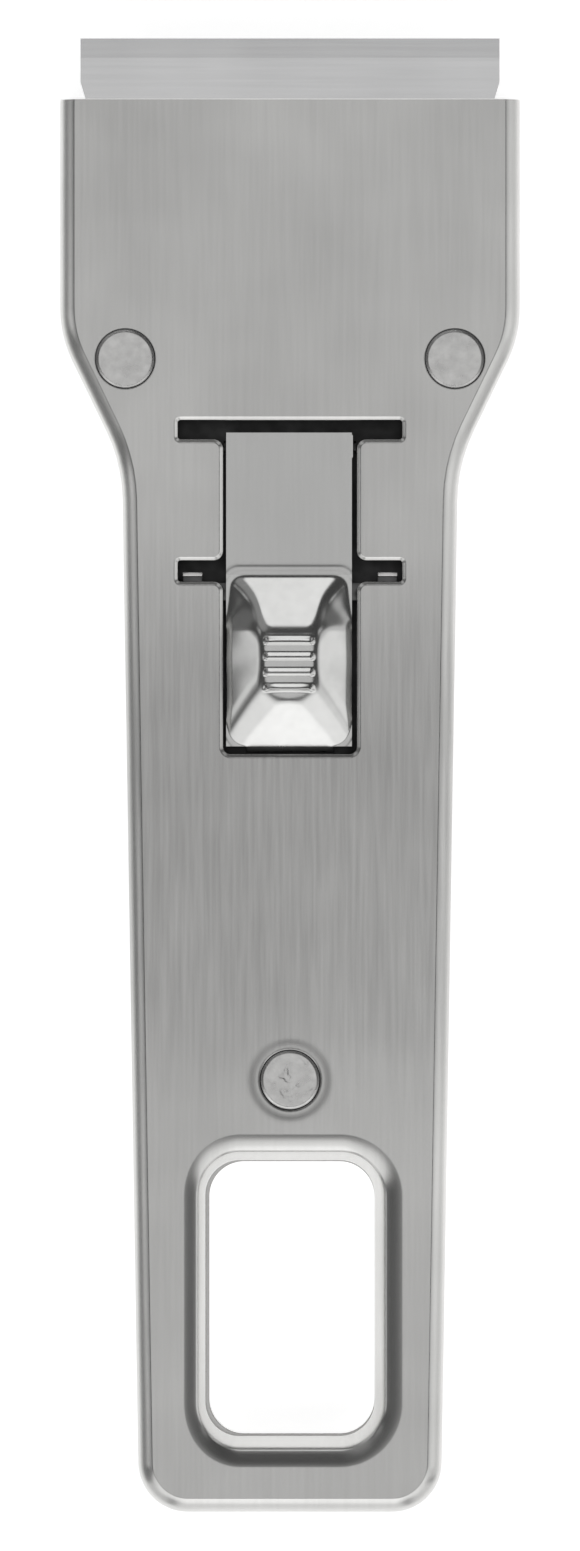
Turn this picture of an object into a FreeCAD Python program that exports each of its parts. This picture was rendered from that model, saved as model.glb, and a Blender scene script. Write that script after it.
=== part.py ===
import FreeCAD, Part
import math
import os
import re

import Sketcher
from FreeCAD import Vector

# Hob scraper: two riveted steel shells with a blade slide between them.
# The rear face lies on z = 0, the blade points along +Y, X runs across.
# Places along the tool are given as distances back from the mouth of the head.

SIZES = {
    # Blade
    "blade_width": 43.0,
    "blade_length": 22.0,
    "blade_thickness": 0.3,
    "blade_exposed": 6.25,
    "bevel_length": 0.7,
    "edge_land": 0.04,
    "blade_notch_start": 4.5,
    "blade_notch_run": 4.0,
    "blade_notch_depth": 1.2,
    "blade_gap": 0.15,
    "blade_side_gap": 1.3,
    # Outline of the shells
    "shell_length": 145.0,
    "shoulder_setback": 3.8,
    "shoulder_length": 13.1,
    "shoulder_step": 6.35,
    "shoulder_radius": 12.4,
    "neck_radius": 17.0,
    "handle_taper": 1.75,
    "end_radius": 5.1,
    # Section of the shells
    "inner_height": 5.4,
    "sheet": 0.8,
    "edge_radius": 1.5,
    "seam_gap": 0.1,
    # Hanging hole
    "hole_width": 17.4,
    "hole_length": 28.4,
    "hole_end_margin": 7.7,
    "hole_corner_radius": 3.6,
    "rim_radius": 2.2,
    "rear_rim_step": 0.25,
    # Opening for the thumb slide
    "slide_travel": 14.6,
    "channel_width": 13.74,
    "slot_reach": 4.63,
    "slot_setback": 8.65,
    "slot_height": 1.95,
    "notch_height": 2.15,
    "bay_length": 17.7,
    "channel_corner_radius": 1.0,
    "slot_corner_radius": 0.3,
    "bay_corner_radius": 0.8,
    # Shell rivets and their spacer sleeves
    "rivet_head_diameter": 6.0,
    "rivet_shank_diameter": 4.0,
    "rivet_fit": 0.12,
    "rivet_recess": 0.04,
    "head_rivet_inset": 6.7,
    "head_rivet_setback": 2.35,
    "tail_rivet_gap": 8.3,
    "spacer_diameter": 6.2,
    # Pegs that hold the blade
    "peg_diameter": 3.0,
    "peg_offset": 11.0,
    "peg_from_heel": 6.75,
    "peg_fit": 0.02,
    "blade_hole_fit": 0.1,
    # Blade carrier
    "carrier_sheet": 1.0,
    "carrier_wall_gap": 0.5,
    "carrier_setback": 1.0,
    "carrier_heel": 4.75,
    "carrier_corner_radius": 1.5,
    "carrier_bend_radius": 0.8,
    "joggle_run": 5.5,
    "tail_overhang": 0.8,
    "guide_gap": 0.4,
    "floor_gap": 0.15,
    # Pivot of the thumb slide
    "pivot_diameter": 1.2,
    "pivot_overhang": 0.35,
    "pivot_setback": 1.4,
    "pivot_drop": 1.2,
    "pivot_fit": 0.05,
    "ear_margin": 0.55,
    "ear_gap": 0.45,
    "rest_gap": 0.05,
    "ear_slope": 0.6,
    # Thumb slide
    "strip_sheet": 0.6,
    "strip_gap": 0.2,
    "strip_side_gap": 0.42,
    "strip_front_gap": 1.25,
    "strip_end_gap": 0.8,
    "strip_corner_radius": 0.4,
    "bump_height": 2.4,
    "bump_front_run": 5.8,
    "bump_top_length": 6.95,
    "bump_rear_run": 4.75,
    "bump_top_width": 5.1,
    "bump_round": 0.5,
    "bump_wall_inset": 0.2,
    "ridge_count": 4,
    "ridge_pitch": 1.6,
    "ridge_width": 0.75,
    "ridge_height": 0.3,
    "ridge_slope": 0.25,
    "ridge_inset": 0.2,
    # Latch spring
    "leaf_sheet": 0.4,
    "leaf_width": 9.0,
    "leaf_end_margin": 1.0,
    "leaf_foot_margin": 0.5,
    "leaf_lead": 2.45,
    "leaf_bar_margin": 0.6,
    "arm_setback": 0.1,
    "arm_length": 1.8,
    "arm_root_radius": 1.0,
    "tooth_width": 2.0,
    "tooth_end_gap": 0.5,
    "tooth_back_gap": 0.55,
    "tooth_recess": 0.15,
    # Rivets of the latch spring
    "spring_rivet_diameter": 1.8,
    "spring_rivet_head_diameter": 3.0,
    "spring_rivet_head_height": 0.4,
    "spring_rivet_edge": 1.9,
    "spring_rivet_margin": 3.5,
    "spring_rivet_fit": 0.05,
}

# Heights above the rear face
SHELL_UNDER = "(sheet + inner_height)"
BODY_THICKNESS = "(inner_height + 2 * sheet)"
SEAM = f"({BODY_THICKNESS} / 2)"
BLADE_UNDER = f"({SHELL_UNDER} - blade_gap - blade_thickness)"
TAIL_UNDER = "(sheet + floor_gap)"
TAIL_TOP = f"({TAIL_UNDER} + carrier_sheet)"
FOOT_TOP = f"({TAIL_TOP} + leaf_sheet)"
STRIP_TOP = f"({SHELL_UNDER} - strip_gap)"
STRIP_UNDER = f"({STRIP_TOP} - strip_sheet)"
LEAF_TOP = f"({STRIP_UNDER} - rest_gap)"
PIVOT_HEIGHT = f"({STRIP_UNDER} - pivot_drop)"
BUMP_TOP = f"({STRIP_TOP} + bump_height)"

# Half widths from the centre line
HEAD_HALF = "(blade_width / 2 + blade_side_gap + sheet)"
HANDLE_FRONT_HALF = f"({HEAD_HALF} - shoulder_step)"
HANDLE_END_HALF = f"({HANDLE_FRONT_HALF} - handle_taper)"
HEAD_RIVET_OFFSET = f"({HEAD_HALF} - head_rivet_inset)"
CARRIER_HALF = f"({HEAD_HALF} - sheet - carrier_wall_gap)"
TAIL_HALF = f"({HEAD_RIVET_OFFSET} - spacer_diameter / 2 - guide_gap)"
STRIP_HALF = "(channel_width / 2 - strip_side_gap)"
STRIP_EAR_INNER = f"({STRIP_HALF} - strip_sheet)"
CARRIER_EAR_INNER = f"({STRIP_EAR_INNER} - ear_gap - carrier_sheet)"
SLOT_HALF = "(channel_width / 2 + slot_reach)"
TOOTH_OUTER = f"({SLOT_HALF} - tooth_end_gap)"
TOOTH_INNER = f"({TOOTH_OUTER} - tooth_width)"
SPRING_RIVET_OFFSET = "(leaf_width / 2 - spring_rivet_edge)"

# Distances back from the mouth
BLADE_HEEL = "(blade_length - blade_exposed)"
PEG_BACK = f"({BLADE_HEEL} - peg_from_heel)"
CARRIER_HEAD_BACK = f"({BLADE_HEEL} + carrier_heel)"
JOGGLE_END = f"({CARRIER_HEAD_BACK} + joggle_run)"
SHOULDER_START = f"({CARRIER_HEAD_BACK} + shoulder_setback)"
SHOULDER_END = f"({SHOULDER_START} + shoulder_length)"
HEAD_RIVET_BACK = f"({SHOULDER_START} + head_rivet_setback)"
SLOT_BACK = f"({SHOULDER_START} + slot_setback)"
SLOT_END = f"({SLOT_BACK} + slot_height)"
NOTCH_END = f"({SLOT_END} + slide_travel)"
NOTCH_BACK = f"({NOTCH_END} - notch_height)"
BAY_BACK = f"({NOTCH_END} + bay_length)"
STRIP_BACK = f"({SLOT_BACK} + strip_front_gap)"
STRIP_END = f"({BAY_BACK} - strip_end_gap)"
BUMP_TOP_END = f"({STRIP_END} - bump_rear_run)"
BUMP_TOP_BACK = f"({BUMP_TOP_END} - bump_top_length)"
BUMP_BACK = f"({BUMP_TOP_BACK} - bump_front_run)"
PIVOT_BACK = f"({STRIP_BACK} + pivot_setback)"
TAIL_BACK = f"({BAY_BACK} + tail_overhang)"
LEAF_END = f"({TAIL_BACK} - leaf_end_margin)"
TOOTH_FRONT = f"({NOTCH_END} - tooth_back_gap - leaf_sheet)"
ARM_FRONT = f"({NOTCH_END} + arm_setback)"
ARM_END = f"({ARM_FRONT} + arm_length)"
LEAF_BAR_BACK = f"({TOOTH_FRONT} - leaf_lead)"
LEAF_BAR_END = f"({ARM_END} + leaf_bar_margin)"
SPRING_RIVET_BACK = f"({LEAF_END} - spring_rivet_margin)"
LEAF_FOOT_FRONT = f"({SPRING_RIVET_BACK} - spring_rivet_head_diameter / 2 - leaf_foot_margin)"
HOLE_NEAR = "(shell_length - hole_end_margin - hole_length)"
HOLE_FAR = "(shell_length - hole_end_margin)"
TAIL_RIVET_BACK = f"({HOLE_NEAR} - tail_rivet_gap)"

# Room round the pivot in the ears
EAR_REACH = "(pivot_diameter / 2 + ear_margin)"

# Legs of the flats that back the rolled edge and the hole's rim at the sheet's own thickness
EDGE_BACKING = "(edge_radius - sheet) * (2 - sqrt(2))"
RIM_BACKING = "(rim_radius - sheet) * (2 - sqrt(2))"

TOLERANCE = 1e-6

doc = FreeCAD.newDocument("HobScraper")
sheet = doc.addObject("Spreadsheet::Sheet", "Sizes")
for row, (alias, size) in enumerate(SIZES.items(), start=1):
    sheet.set(f"A{row}", alias)
    sheet.set(f"B{row}", str(size))
    sheet.setAlias(f"B{row}", alias)
doc.recompute()

parts = []


def tie(expression):
    """Point each size named in an expression at its cell of the sheet."""
    return re.sub(r"[a-z_]+", lambda m: f"Sizes.{m[0]}" if m[0] in SIZES else m[0], str(expression))


def value(expression):
    """Work out an expression from the sheet."""
    return float(sheet.evalExpression(tie(expression)))


def along(back):
    """Place along Y of a point that lies this far back from the mouth."""
    return f"shell_length / 2 - ({back})"


def minus(expression):
    """Turn an expression's sign."""
    return f"-({expression})"


def bind(item, **sizes):
    """Tie properties of a document object to expressions on the sheet."""
    for name, expression in sizes.items():
        item.setExpression(name, tie(expression))
    return item


def shift(item, x="0", y="0", z="0"):
    """Tie a document object's place to expressions on the sheet."""
    for axis, expression in zip("xyz", (x, y, z)):
        item.setExpression(f"Placement.Base.{axis}", tie(expression))


def new_body(label):
    """Start a sub-part."""
    body = doc.addObject("PartDesign::Body", label)
    body.Label = label
    parts.append(body)
    return body


def origin_part(body, role):
    """Find a plane or axis of a body's origin."""
    return next(item for item in body.Origin.OriginFeatures if item.Role == role)


def new_sketch(body, name, plane, level):
    """Open a sketch on an origin plane, raised to a level along its normal."""
    sketch = body.newObject("Sketcher::SketchObject", name)
    sketch.AttachmentSupport = (origin_part(body, plane), [""])
    sketch.MapMode = "FlatFace"
    sketch.setExpression("AttachmentOffset.Base.z", tie(level))
    return sketch


def hold(sketch, geometry, point, place):
    """Hold a sketch point at an x and y given as expressions."""
    for axis, root_axis, expression in zip("XY", (-2, -1), place):
        amount = value(expression)
        if abs(amount) < TOLERANCE:
            sketch.addConstraint(Sketcher.Constraint("PointOnObject", geometry, point, root_axis))
            continue
        rule = Sketcher.Constraint(f"Distance{axis}", -1, 1, geometry, point, amount)
        index = sketch.addConstraint(rule)
        sketch.setExpression(f"Constraints[{index}]", tie(expression))


def bend(before, corner, after, radius):
    """Give the tangent points, centre and turning sense of a rounded corner."""
    inward = (before - corner).normalize()
    outward = (after - corner).normalize()
    half = inward.getAngle(outward) / 2
    reach = radius / math.tan(half)
    middle = (inward + outward).normalize() * (radius / math.sin(half))
    turns_left = inward.cross(outward).z < 0
    return corner + inward * reach, corner + outward * reach, corner + middle, turns_left


def add_outline(sketch, corners):
    """Draw a closed outline through corners (x, y) or (x, y, radius), given as expressions."""
    spots = [Vector(value(corner[0]), value(corner[1]), 0) for corner in corners]
    count = len(corners)
    starts = list(spots)
    ends = list(spots)
    bends = {}
    for i, corner in enumerate(corners):
        if len(corner) == 3:
            radius = value(corner[2])
            enter, leave, centre, left = bend(spots[i - 1], spots[i], spots[(i + 1) % count], radius)
            ends[i] = enter
            starts[i] = leave
            bends[i] = (centre, radius, left)
    lines = []
    for i in range(count):
        line = Part.LineSegment(starts[i], ends[(i + 1) % count])
        lines.append(sketch.addGeometry(line, False))
    for i, corner in enumerate(corners):
        if i not in bends:
            sketch.addConstraint(Sketcher.Constraint("Coincident", lines[i - 1], 2, lines[i], 1))
            hold(sketch, lines[i], 1, corner[:2])
            continue
        centre, radius, left = bends[i]
        first, last = (ends[i], starts[i]) if left else (starts[i], ends[i])
        angles = [math.atan2(spot.y - centre.y, spot.x - centre.x) for spot in (first, last)]
        circle = Part.Circle(centre, Vector(0, 0, 1), radius)
        arc = sketch.addGeometry(Part.ArcOfCircle(circle, *angles), False)
        tip = sketch.addGeometry(Part.Point(spots[i]), True)
        hold(sketch, tip, 1, corner[:2])
        enter_end, leave_end = (1, 2) if left else (2, 1)
        sketch.addConstraint(Sketcher.Constraint("PointOnObject", tip, 1, lines[i - 1]))
        sketch.addConstraint(Sketcher.Constraint("PointOnObject", tip, 1, lines[i]))
        sketch.addConstraint(Sketcher.Constraint("Tangent", lines[i - 1], 2, arc, enter_end))
        sketch.addConstraint(Sketcher.Constraint("Tangent", arc, leave_end, lines[i], 1))
        index = sketch.addConstraint(Sketcher.Constraint("Radius", arc, radius))
        sketch.setExpression(f"Constraints[{index}]", tie(corner[2]))


def draw(body, name, outlines, plane="XY_Plane", level="0"):
    """Make a sketch of one or more closed outlines."""
    sketch = new_sketch(body, name, plane, level)
    for corners in outlines:
        add_outline(sketch, corners)
    doc.recompute()
    return sketch


def draw_circles(body, name, places, radius, plane="XY_Plane", level="0"):
    """Make a sketch of equal circles."""
    sketch = new_sketch(body, name, plane, level)
    for place in places:
        centre = Vector(value(place[0]), value(place[1]), 0)
        circle = sketch.addGeometry(Part.Circle(centre, Vector(0, 0, 1), value(radius)), False)
        hold(sketch, circle, 3, place)
        index = sketch.addConstraint(Sketcher.Constraint("Radius", circle, value(radius)))
        sketch.setExpression(f"Constraints[{index}]", tie(radius))
    doc.recompute()
    return sketch


def pad(body, name, sketch, length, side="One side", reverse=False):
    """Raise a sketch into a solid."""
    feature = body.newObject("PartDesign::Pad", name)
    feature.Profile = sketch
    feature.SideType = side
    feature.Reversed = reverse
    bind(feature, Length=length)
    doc.recompute()
    return feature


def cut_through(body, name, sketch):
    """Cut a sketch right through the solid, both ways."""
    before = body.Shape.Volume
    feature = body.newObject("PartDesign::Pocket", name)
    feature.Profile = sketch
    feature.SideType = "Symmetric"
    feature.Type = "ThroughAll"
    doc.recompute()
    if body.Shape.Volume > before - TOLERANCE:
        raise RuntimeError(f"{name} cuts nothing")
    return feature


def revolve(body, name, corners):
    """Turn a closed half section (radius, height) about the body's Z axis."""
    sketch = draw(body, f"{name}Section", [corners], plane="XZ_Plane")
    feature = body.newObject("PartDesign::Revolution", name)
    feature.Profile = sketch
    feature.ReferenceAxis = (origin_part(body, "Z_Axis"), [""])
    doc.recompute()
    return feature


def dress_edges(body, name, kind, wanted):
    """Start a fillet or a chamfer on the edges of the solid that the test picks out."""
    base = body.Tip
    edges = [f"Edge{i}" for i, edge in enumerate(base.Shape.Edges, start=1) if wanted(edge)]
    feature = body.newObject(f"PartDesign::{kind}", name)
    feature.Base = (base, edges)
    return feature


def round_edges(body, name, radius, wanted):
    """Round the edges of the solid that the test picks out."""
    bind(dress_edges(body, name, "Fillet", wanted), Radius=radius)
    doc.recompute()


def chamfer_edges(body, name, leg, wanted):
    """Chamfer the edges of the solid that the test picks out."""
    bind(dress_edges(body, name, "Chamfer", wanted), Size=leg)
    doc.recompute()


def cut_cone(body, name, place, base_radius, top_radius, length):
    """Cut an upright cone whose base stands at the given place."""
    feature = body.newObject("PartDesign::SubtractiveCone", name)
    bind(feature, Radius1=base_radius, Radius2=top_radius, Height=length)
    shift(feature, *place)
    doc.recompute()
    return feature


def at_height(height):
    """Test for edges that lie flat at one height."""
    return lambda edge: abs(edge.BoundBox.ZMin - height) + abs(edge.BoundBox.ZMax - height) < 2 * TOLERANCE


def mirrored(half):
    """Complete a symmetric outline from its corners on the +X side, given from front to back."""
    return half + [(minus(corner[0]), *corner[1:]) for corner in reversed(half)]


def box(x_low, x_high, back_near, back_far, radius=None):
    """Give the corners of a rectangle between two widths and two distances back."""
    round_off = () if radius is None else (radius,)
    near, far = along(back_near), along(back_far)
    return [
        (x_low, far, *round_off),
        (x_high, far, *round_off),
        (x_high, near, *round_off),
        (x_low, near, *round_off),
    ]


def both_sides(x_low, x_high, back_near, back_far):
    """Give the corners of a rectangle and of its twin across the centre line."""
    return [box(x_low, x_high, back_near, back_far), box(minus(x_high), minus(x_low), back_near, back_far)]


SHELL_OUTLINE = mirrored([
    (HEAD_HALF, along("0")),
    (HEAD_HALF, along(SHOULDER_START), "shoulder_radius"),
    (HANDLE_FRONT_HALF, along(SHOULDER_END), "neck_radius"),
    (HANDLE_END_HALF, along("shell_length"), "end_radius"),
])

SLIDE_OPENING = mirrored([
    (SLOT_HALF, along(SLOT_BACK), "slot_corner_radius"),
    (SLOT_HALF, along(SLOT_END), "slot_corner_radius"),
    ("channel_width / 2", along(SLOT_END), "channel_corner_radius"),
    ("channel_width / 2", along(NOTCH_BACK), "channel_corner_radius"),
    (SLOT_HALF, along(NOTCH_BACK), "slot_corner_radius"),
    (SLOT_HALF, along(NOTCH_END), "slot_corner_radius"),
    ("channel_width / 2", along(NOTCH_END), "channel_corner_radius"),
    ("channel_width / 2", along(BAY_BACK), "bay_corner_radius"),
])

PEG_PLACES = [(minus("peg_offset"), along(PEG_BACK)), ("peg_offset", along(PEG_BACK))]

PIVOT_PLACE = (along(PIVOT_BACK), PIVOT_HEIGHT)

SPRING_RIVET_PLACES = {
    "left": (minus(SPRING_RIVET_OFFSET), along(SPRING_RIVET_BACK)),
    "right": (SPRING_RIVET_OFFSET, along(SPRING_RIVET_BACK)),
}

RIVET_PLACES = {
    "head_left": (minus(HEAD_RIVET_OFFSET), along(HEAD_RIVET_BACK)),
    "head_right": (HEAD_RIVET_OFFSET, along(HEAD_RIVET_BACK)),
    "tail": ("0", along(TAIL_RIVET_BACK)),
}


def lies_within(edge, half_width, back_near, back_far):
    """Test whether an edge lies inside a rectangle about the centre line."""
    reach = edge.BoundBox
    across = max(reach.XMax, -reach.XMin) < value(half_width) + TOLERANCE
    behind_near = reach.YMax < value(along(back_near)) + TOLERANCE
    before_far = reach.YMin > value(along(back_far)) - TOLERANCE
    return across and behind_near and before_far


def hollow_out(body, name, wall, open_height, open_end):
    """Hollow a blank to a wall, open on the face at one height and on the face at one end."""
    blank = body.Tip
    openings = []
    for i, side in enumerate(blank.Shape.Faces, start=1):
        reach = side.BoundBox
        at_seam = abs(reach.ZMin - open_height) + abs(reach.ZMax - open_height) < 2 * TOLERANCE
        at_mouth = abs(reach.YMin - open_end) + abs(reach.YMax - open_end) < 2 * TOLERANCE
        if at_seam or at_mouth:
            openings.append(f"Face{i}")
    feature = body.newObject("PartDesign::Thickness", name)
    feature.Base = (blank, openings)
    feature.Join = "Intersection"
    feature.Reversed = True
    bind(feature, Value=wall)
    doc.recompute()
    return feature


def make_shell(label, is_front, hole_step):
    """Draw a shell: rolled edges, a drawn collar round the hanging hole and countersunk rivet holes."""
    body = new_body(label)
    seam_level = f"{SEAM} + seam_gap / 2" if is_front else f"{SEAM} - seam_gap / 2"
    outer_face = value(BODY_THICKNESS) if is_front else 0.0
    inner_face = value(SHELL_UNDER) if is_front else value("sheet")
    mouth = value(along("0"))
    half_hole = f"hole_width / 2 - {hole_step}"
    hole_near = f"{HOLE_NEAR} + {hole_step}"
    hole_far = f"{HOLE_FAR} - {hole_step}"

    outline = draw(body, f"{label}_outline", [SHELL_OUTLINE], level=seam_level)
    pad(body, f"{label}_blank", outline, f"({BODY_THICKNESS} - seam_gap) / 2", reverse=not is_front)
    hole_corners = box(minus(half_hole), half_hole, hole_near, hole_far, "hole_corner_radius")
    hole = draw(body, f"{label}_hole_outline", [hole_corners], level=seam_level)
    cut_through(body, f"{label}_hole", hole)
    hollow_out(body, f"{label}_wall", "sheet", value(seam_level), mouth)

    def on_rim(edge):
        near, far = f"{hole_near} - rim_radius", f"{hole_far} + rim_radius"
        return lies_within(edge, f"{half_hole} + rim_radius", near, far)

    def on_outline(edge):
        return edge.BoundBox.YMin < mouth - TOLERANCE and not on_rim(edge)

    inside = at_height(inner_face)
    outside = at_height(outer_face)
    chamfer_edges(body, f"{label}_edge_backing", EDGE_BACKING, lambda edge: inside(edge) and on_outline(edge))
    chamfer_edges(body, f"{label}_rim_backing", RIM_BACKING, lambda edge: inside(edge) and on_rim(edge))
    round_edges(body, f"{label}_rim", "rim_radius", lambda edge: outside(edge) and on_rim(edge))
    round_edges(body, f"{label}_rolled_edge", "edge_radius", lambda edge: outside(edge) and on_outline(edge))

    if is_front:
        opening = draw(body, f"{label}_slide_opening_outline", [SLIDE_OPENING], level=seam_level)
        cut_through(body, f"{label}_slide_opening", opening)
    wide = "rivet_head_diameter / 2 + rivet_fit"
    narrow = "rivet_shank_diameter / 2 + rivet_fit"
    low_radius, high_radius, low = (narrow, wide, SHELL_UNDER) if is_front else (wide, narrow, "0")
    for name, place in RIVET_PLACES.items():
        cut_cone(body, f"{label}_{name}_countersink", (*place, low), low_radius, high_radius, "sheet")


def make_rivet(label, place):
    """Turn a rivet with a countersunk head at each face, just below flush."""
    body = new_body(label)
    head = "rivet_head_diameter / 2"
    shank = "rivet_shank_diameter / 2"
    revolve(body, f"{label}_turned", [
        ("0", "rivet_recess"),
        (head, "rivet_recess"),
        (shank, "sheet"),
        (shank, SHELL_UNDER),
        (head, f"{BODY_THICKNESS} - rivet_recess"),
        ("0", f"{BODY_THICKNESS} - rivet_recess"),
    ])
    shift(body, *place)


def make_spacer(label, place):
    """Turn a sleeve that keeps the shells apart round a rivet."""
    body = new_body(label)
    bore = "rivet_shank_diameter / 2 + rivet_fit"
    outside = "spacer_diameter / 2"
    revolve(body, f"{label}_turned", [
        (bore, "sheet"),
        (outside, "sheet"),
        (outside, SHELL_UNDER),
        (bore, SHELL_UNDER),
    ])
    shift(body, *place)


def make_blade():
    """Grind a blade with an edge bevelled on both faces, waisted sides and two peg holes."""
    body = new_body("blade")
    tip = along("-blade_exposed")
    heel = along(BLADE_HEEL)
    middle = f"{BLADE_UNDER} + blade_thickness / 2"
    top = f"{BLADE_UNDER} + blade_thickness"
    section = draw(body, "blade_section", [[
        (heel, BLADE_UNDER),
        (f"{tip} - bevel_length", BLADE_UNDER),
        (tip, f"{middle} - edge_land / 2"),
        (tip, f"{middle} + edge_land / 2"),
        (f"{tip} - bevel_length", top),
        (heel, top),
    ]], plane="YZ_Plane")
    pad(body, "blade_strip", section, "blade_width", side="Symmetric")
    waist = [
        ("blade_width / 2", f"{tip} - blade_notch_start"),
        ("blade_width / 2 - blade_notch_depth", f"{tip} - blade_notch_start - blade_notch_run"),
        ("blade_width / 2 - blade_notch_depth", f"{heel} + blade_notch_start + blade_notch_run"),
        ("blade_width / 2", f"{heel} + blade_notch_start"),
    ]
    left_waist = [(minus(x), y) for x, y in waist]
    cut_through(body, "blade_waist", draw(body, "blade_waist_outline", [waist, left_waist]))
    holes = draw_circles(body, "blade_hole_circles", PEG_PLACES, "peg_diameter / 2 + blade_hole_fit")
    cut_through(body, "blade_holes", holes)


def make_peg(label, place):
    """Turn a peg that is staked in the carrier and stands up through the blade."""
    body = new_body(label)
    revolve(body, f"{label}_turned", [
        ("0", f"{BLADE_UNDER} - carrier_sheet"),
        ("peg_diameter / 2", f"{BLADE_UNDER} - carrier_sheet"),
        ("peg_diameter / 2", f"{BLADE_UNDER} + blade_thickness"),
        ("0", f"{BLADE_UNDER} + blade_thickness"),
    ])
    shift(body, *place)


def joggled_section(start, bend_start, bend_end, end, high, low, gauge):
    """Give the side section of a strip that steps down from one height to a lower one."""
    upper, lower = along(bend_start), along(bend_end)
    slope = f"atan((({high}) - ({low})) / (({bend_end}) - ({bend_start})))"
    inset = f"{gauge} * tan({slope} / 2)"
    return [
        (along(start), high),
        (upper, high),
        (lower, low),
        (along(end), low),
        (along(end), f"{low} - {gauge}"),
        (f"{lower} + {inset}", f"{low} - {gauge}"),
        (f"{upper} + {inset}", f"{high} - {gauge}"),
        (along(start), f"{high} - {gauge}"),
    ]


def make_carrier():
    """Fold the blade carrier: a flanged head under the blade, a low tail and two pivot ears."""
    body = new_body("blade_carrier")
    section = draw(body, "carrier_section", [joggled_section(
        "carrier_setback", CARRIER_HEAD_BACK, JOGGLE_END, TAIL_BACK, BLADE_UNDER, TAIL_TOP, "carrier_sheet",
    )], plane="YZ_Plane")
    pad(body, "carrier_plate", section, f"2 * ({CARRIER_HALF})", side="Symmetric")
    flanks = [
        (TAIL_HALF, along(CARRIER_HEAD_BACK), "carrier_corner_radius"),
        (HEAD_HALF, along(CARRIER_HEAD_BACK)),
        (HEAD_HALF, along(f"{TAIL_BACK} + carrier_sheet")),
        (TAIL_HALF, along(f"{TAIL_BACK} + carrier_sheet")),
    ]
    left_flanks = [(minus(corner[0]), *corner[1:]) for corner in flanks]
    cut_through(body, "carrier_flanks", draw(body, "carrier_flank_outline", [flanks, left_flanks]))
    flange_inner = f"{CARRIER_HALF} - carrier_sheet"
    flanges = both_sides(flange_inner, CARRIER_HALF, "carrier_setback", CARRIER_HEAD_BACK)
    sketch = draw(body, "carrier_flange_outline", flanges, level=TAIL_UNDER)
    pad(body, "carrier_flanges", sketch, f"{BLADE_UNDER} - ({TAIL_UNDER})")

    def on_bend(edge):
        outside = min(abs(edge.BoundBox.XMin), abs(edge.BoundBox.XMax)) > value(CARRIER_HALF) - TOLERANCE
        return outside and at_height(value(BLADE_UNDER))(edge)

    round_edges(body, "carrier_bends", "carrier_bend_radius", on_bend)
    ear_front = along(f"{PIVOT_BACK} - {EAR_REACH}")
    ear_rear = along(f"{PIVOT_BACK} + {EAR_REACH}")
    ear = [
        (ear_rear, TAIL_UNDER),
        (ear_front, TAIL_UNDER),
        (ear_front, LEAF_TOP),
        (along(PIVOT_BACK), LEAF_TOP),
        (ear_rear, f"{LEAF_TOP} - ear_slope"),
    ]
    for side, level in (("left", f"-({CARRIER_EAR_INNER}) - carrier_sheet"), ("right", CARRIER_EAR_INNER)):
        sketch = draw(body, f"carrier_ear_{side}_outline", [ear], plane="YZ_Plane", level=level)
        pad(body, f"carrier_ear_{side}", sketch, "carrier_sheet")
    pivot_radius = "pivot_diameter / 2 + peg_fit"
    pivot = draw_circles(body, "carrier_pivot_circle", [PIVOT_PLACE], pivot_radius, plane="YZ_Plane")
    cut_through(body, "carrier_pivot_holes", pivot)
    holes = draw_circles(body, "carrier_peg_circles", PEG_PLACES, "peg_diameter / 2 + peg_fit")
    cut_through(body, "carrier_peg_holes", holes)
    rivet_radius = "spring_rivet_diameter / 2 + spring_rivet_fit"
    holes = draw_circles(body, "carrier_rivet_circles", SPRING_RIVET_PLACES.values(), rivet_radius)
    cut_through(body, "carrier_rivet_holes", holes)
    for name, place in SPRING_RIVET_PLACES.items():
        cut_cone(
            body, f"carrier_{name}_countersink", (*place, TAIL_UNDER),
            f"{rivet_radius} + spring_rivet_head_height", rivet_radius, "spring_rivet_head_height",
        )


def add_frustum(body, name, kind, foot, crown):
    """Add or cut a block with straight sides between two rectangles (half width, near, far, height)."""
    feature = body.newObject(f"PartDesign::{kind}Wedge", name)
    feature.Placement = FreeCAD.Placement(Vector(0, 0, 0), FreeCAD.Rotation(Vector(1, 0, 0), 90))
    for level, (half, near, far, height) in (("", foot), ("2", crown)):
        bind(feature, **{f"X{level}min": minus(half), f"X{level}max": half})
        bind(feature, **{f"Z{level}min": minus(along(near)), f"Z{level}max": minus(along(far))})
        bind(feature, **{"Ymax" if level else "Ymin": height})
    doc.recompute()
    return feature


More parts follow.
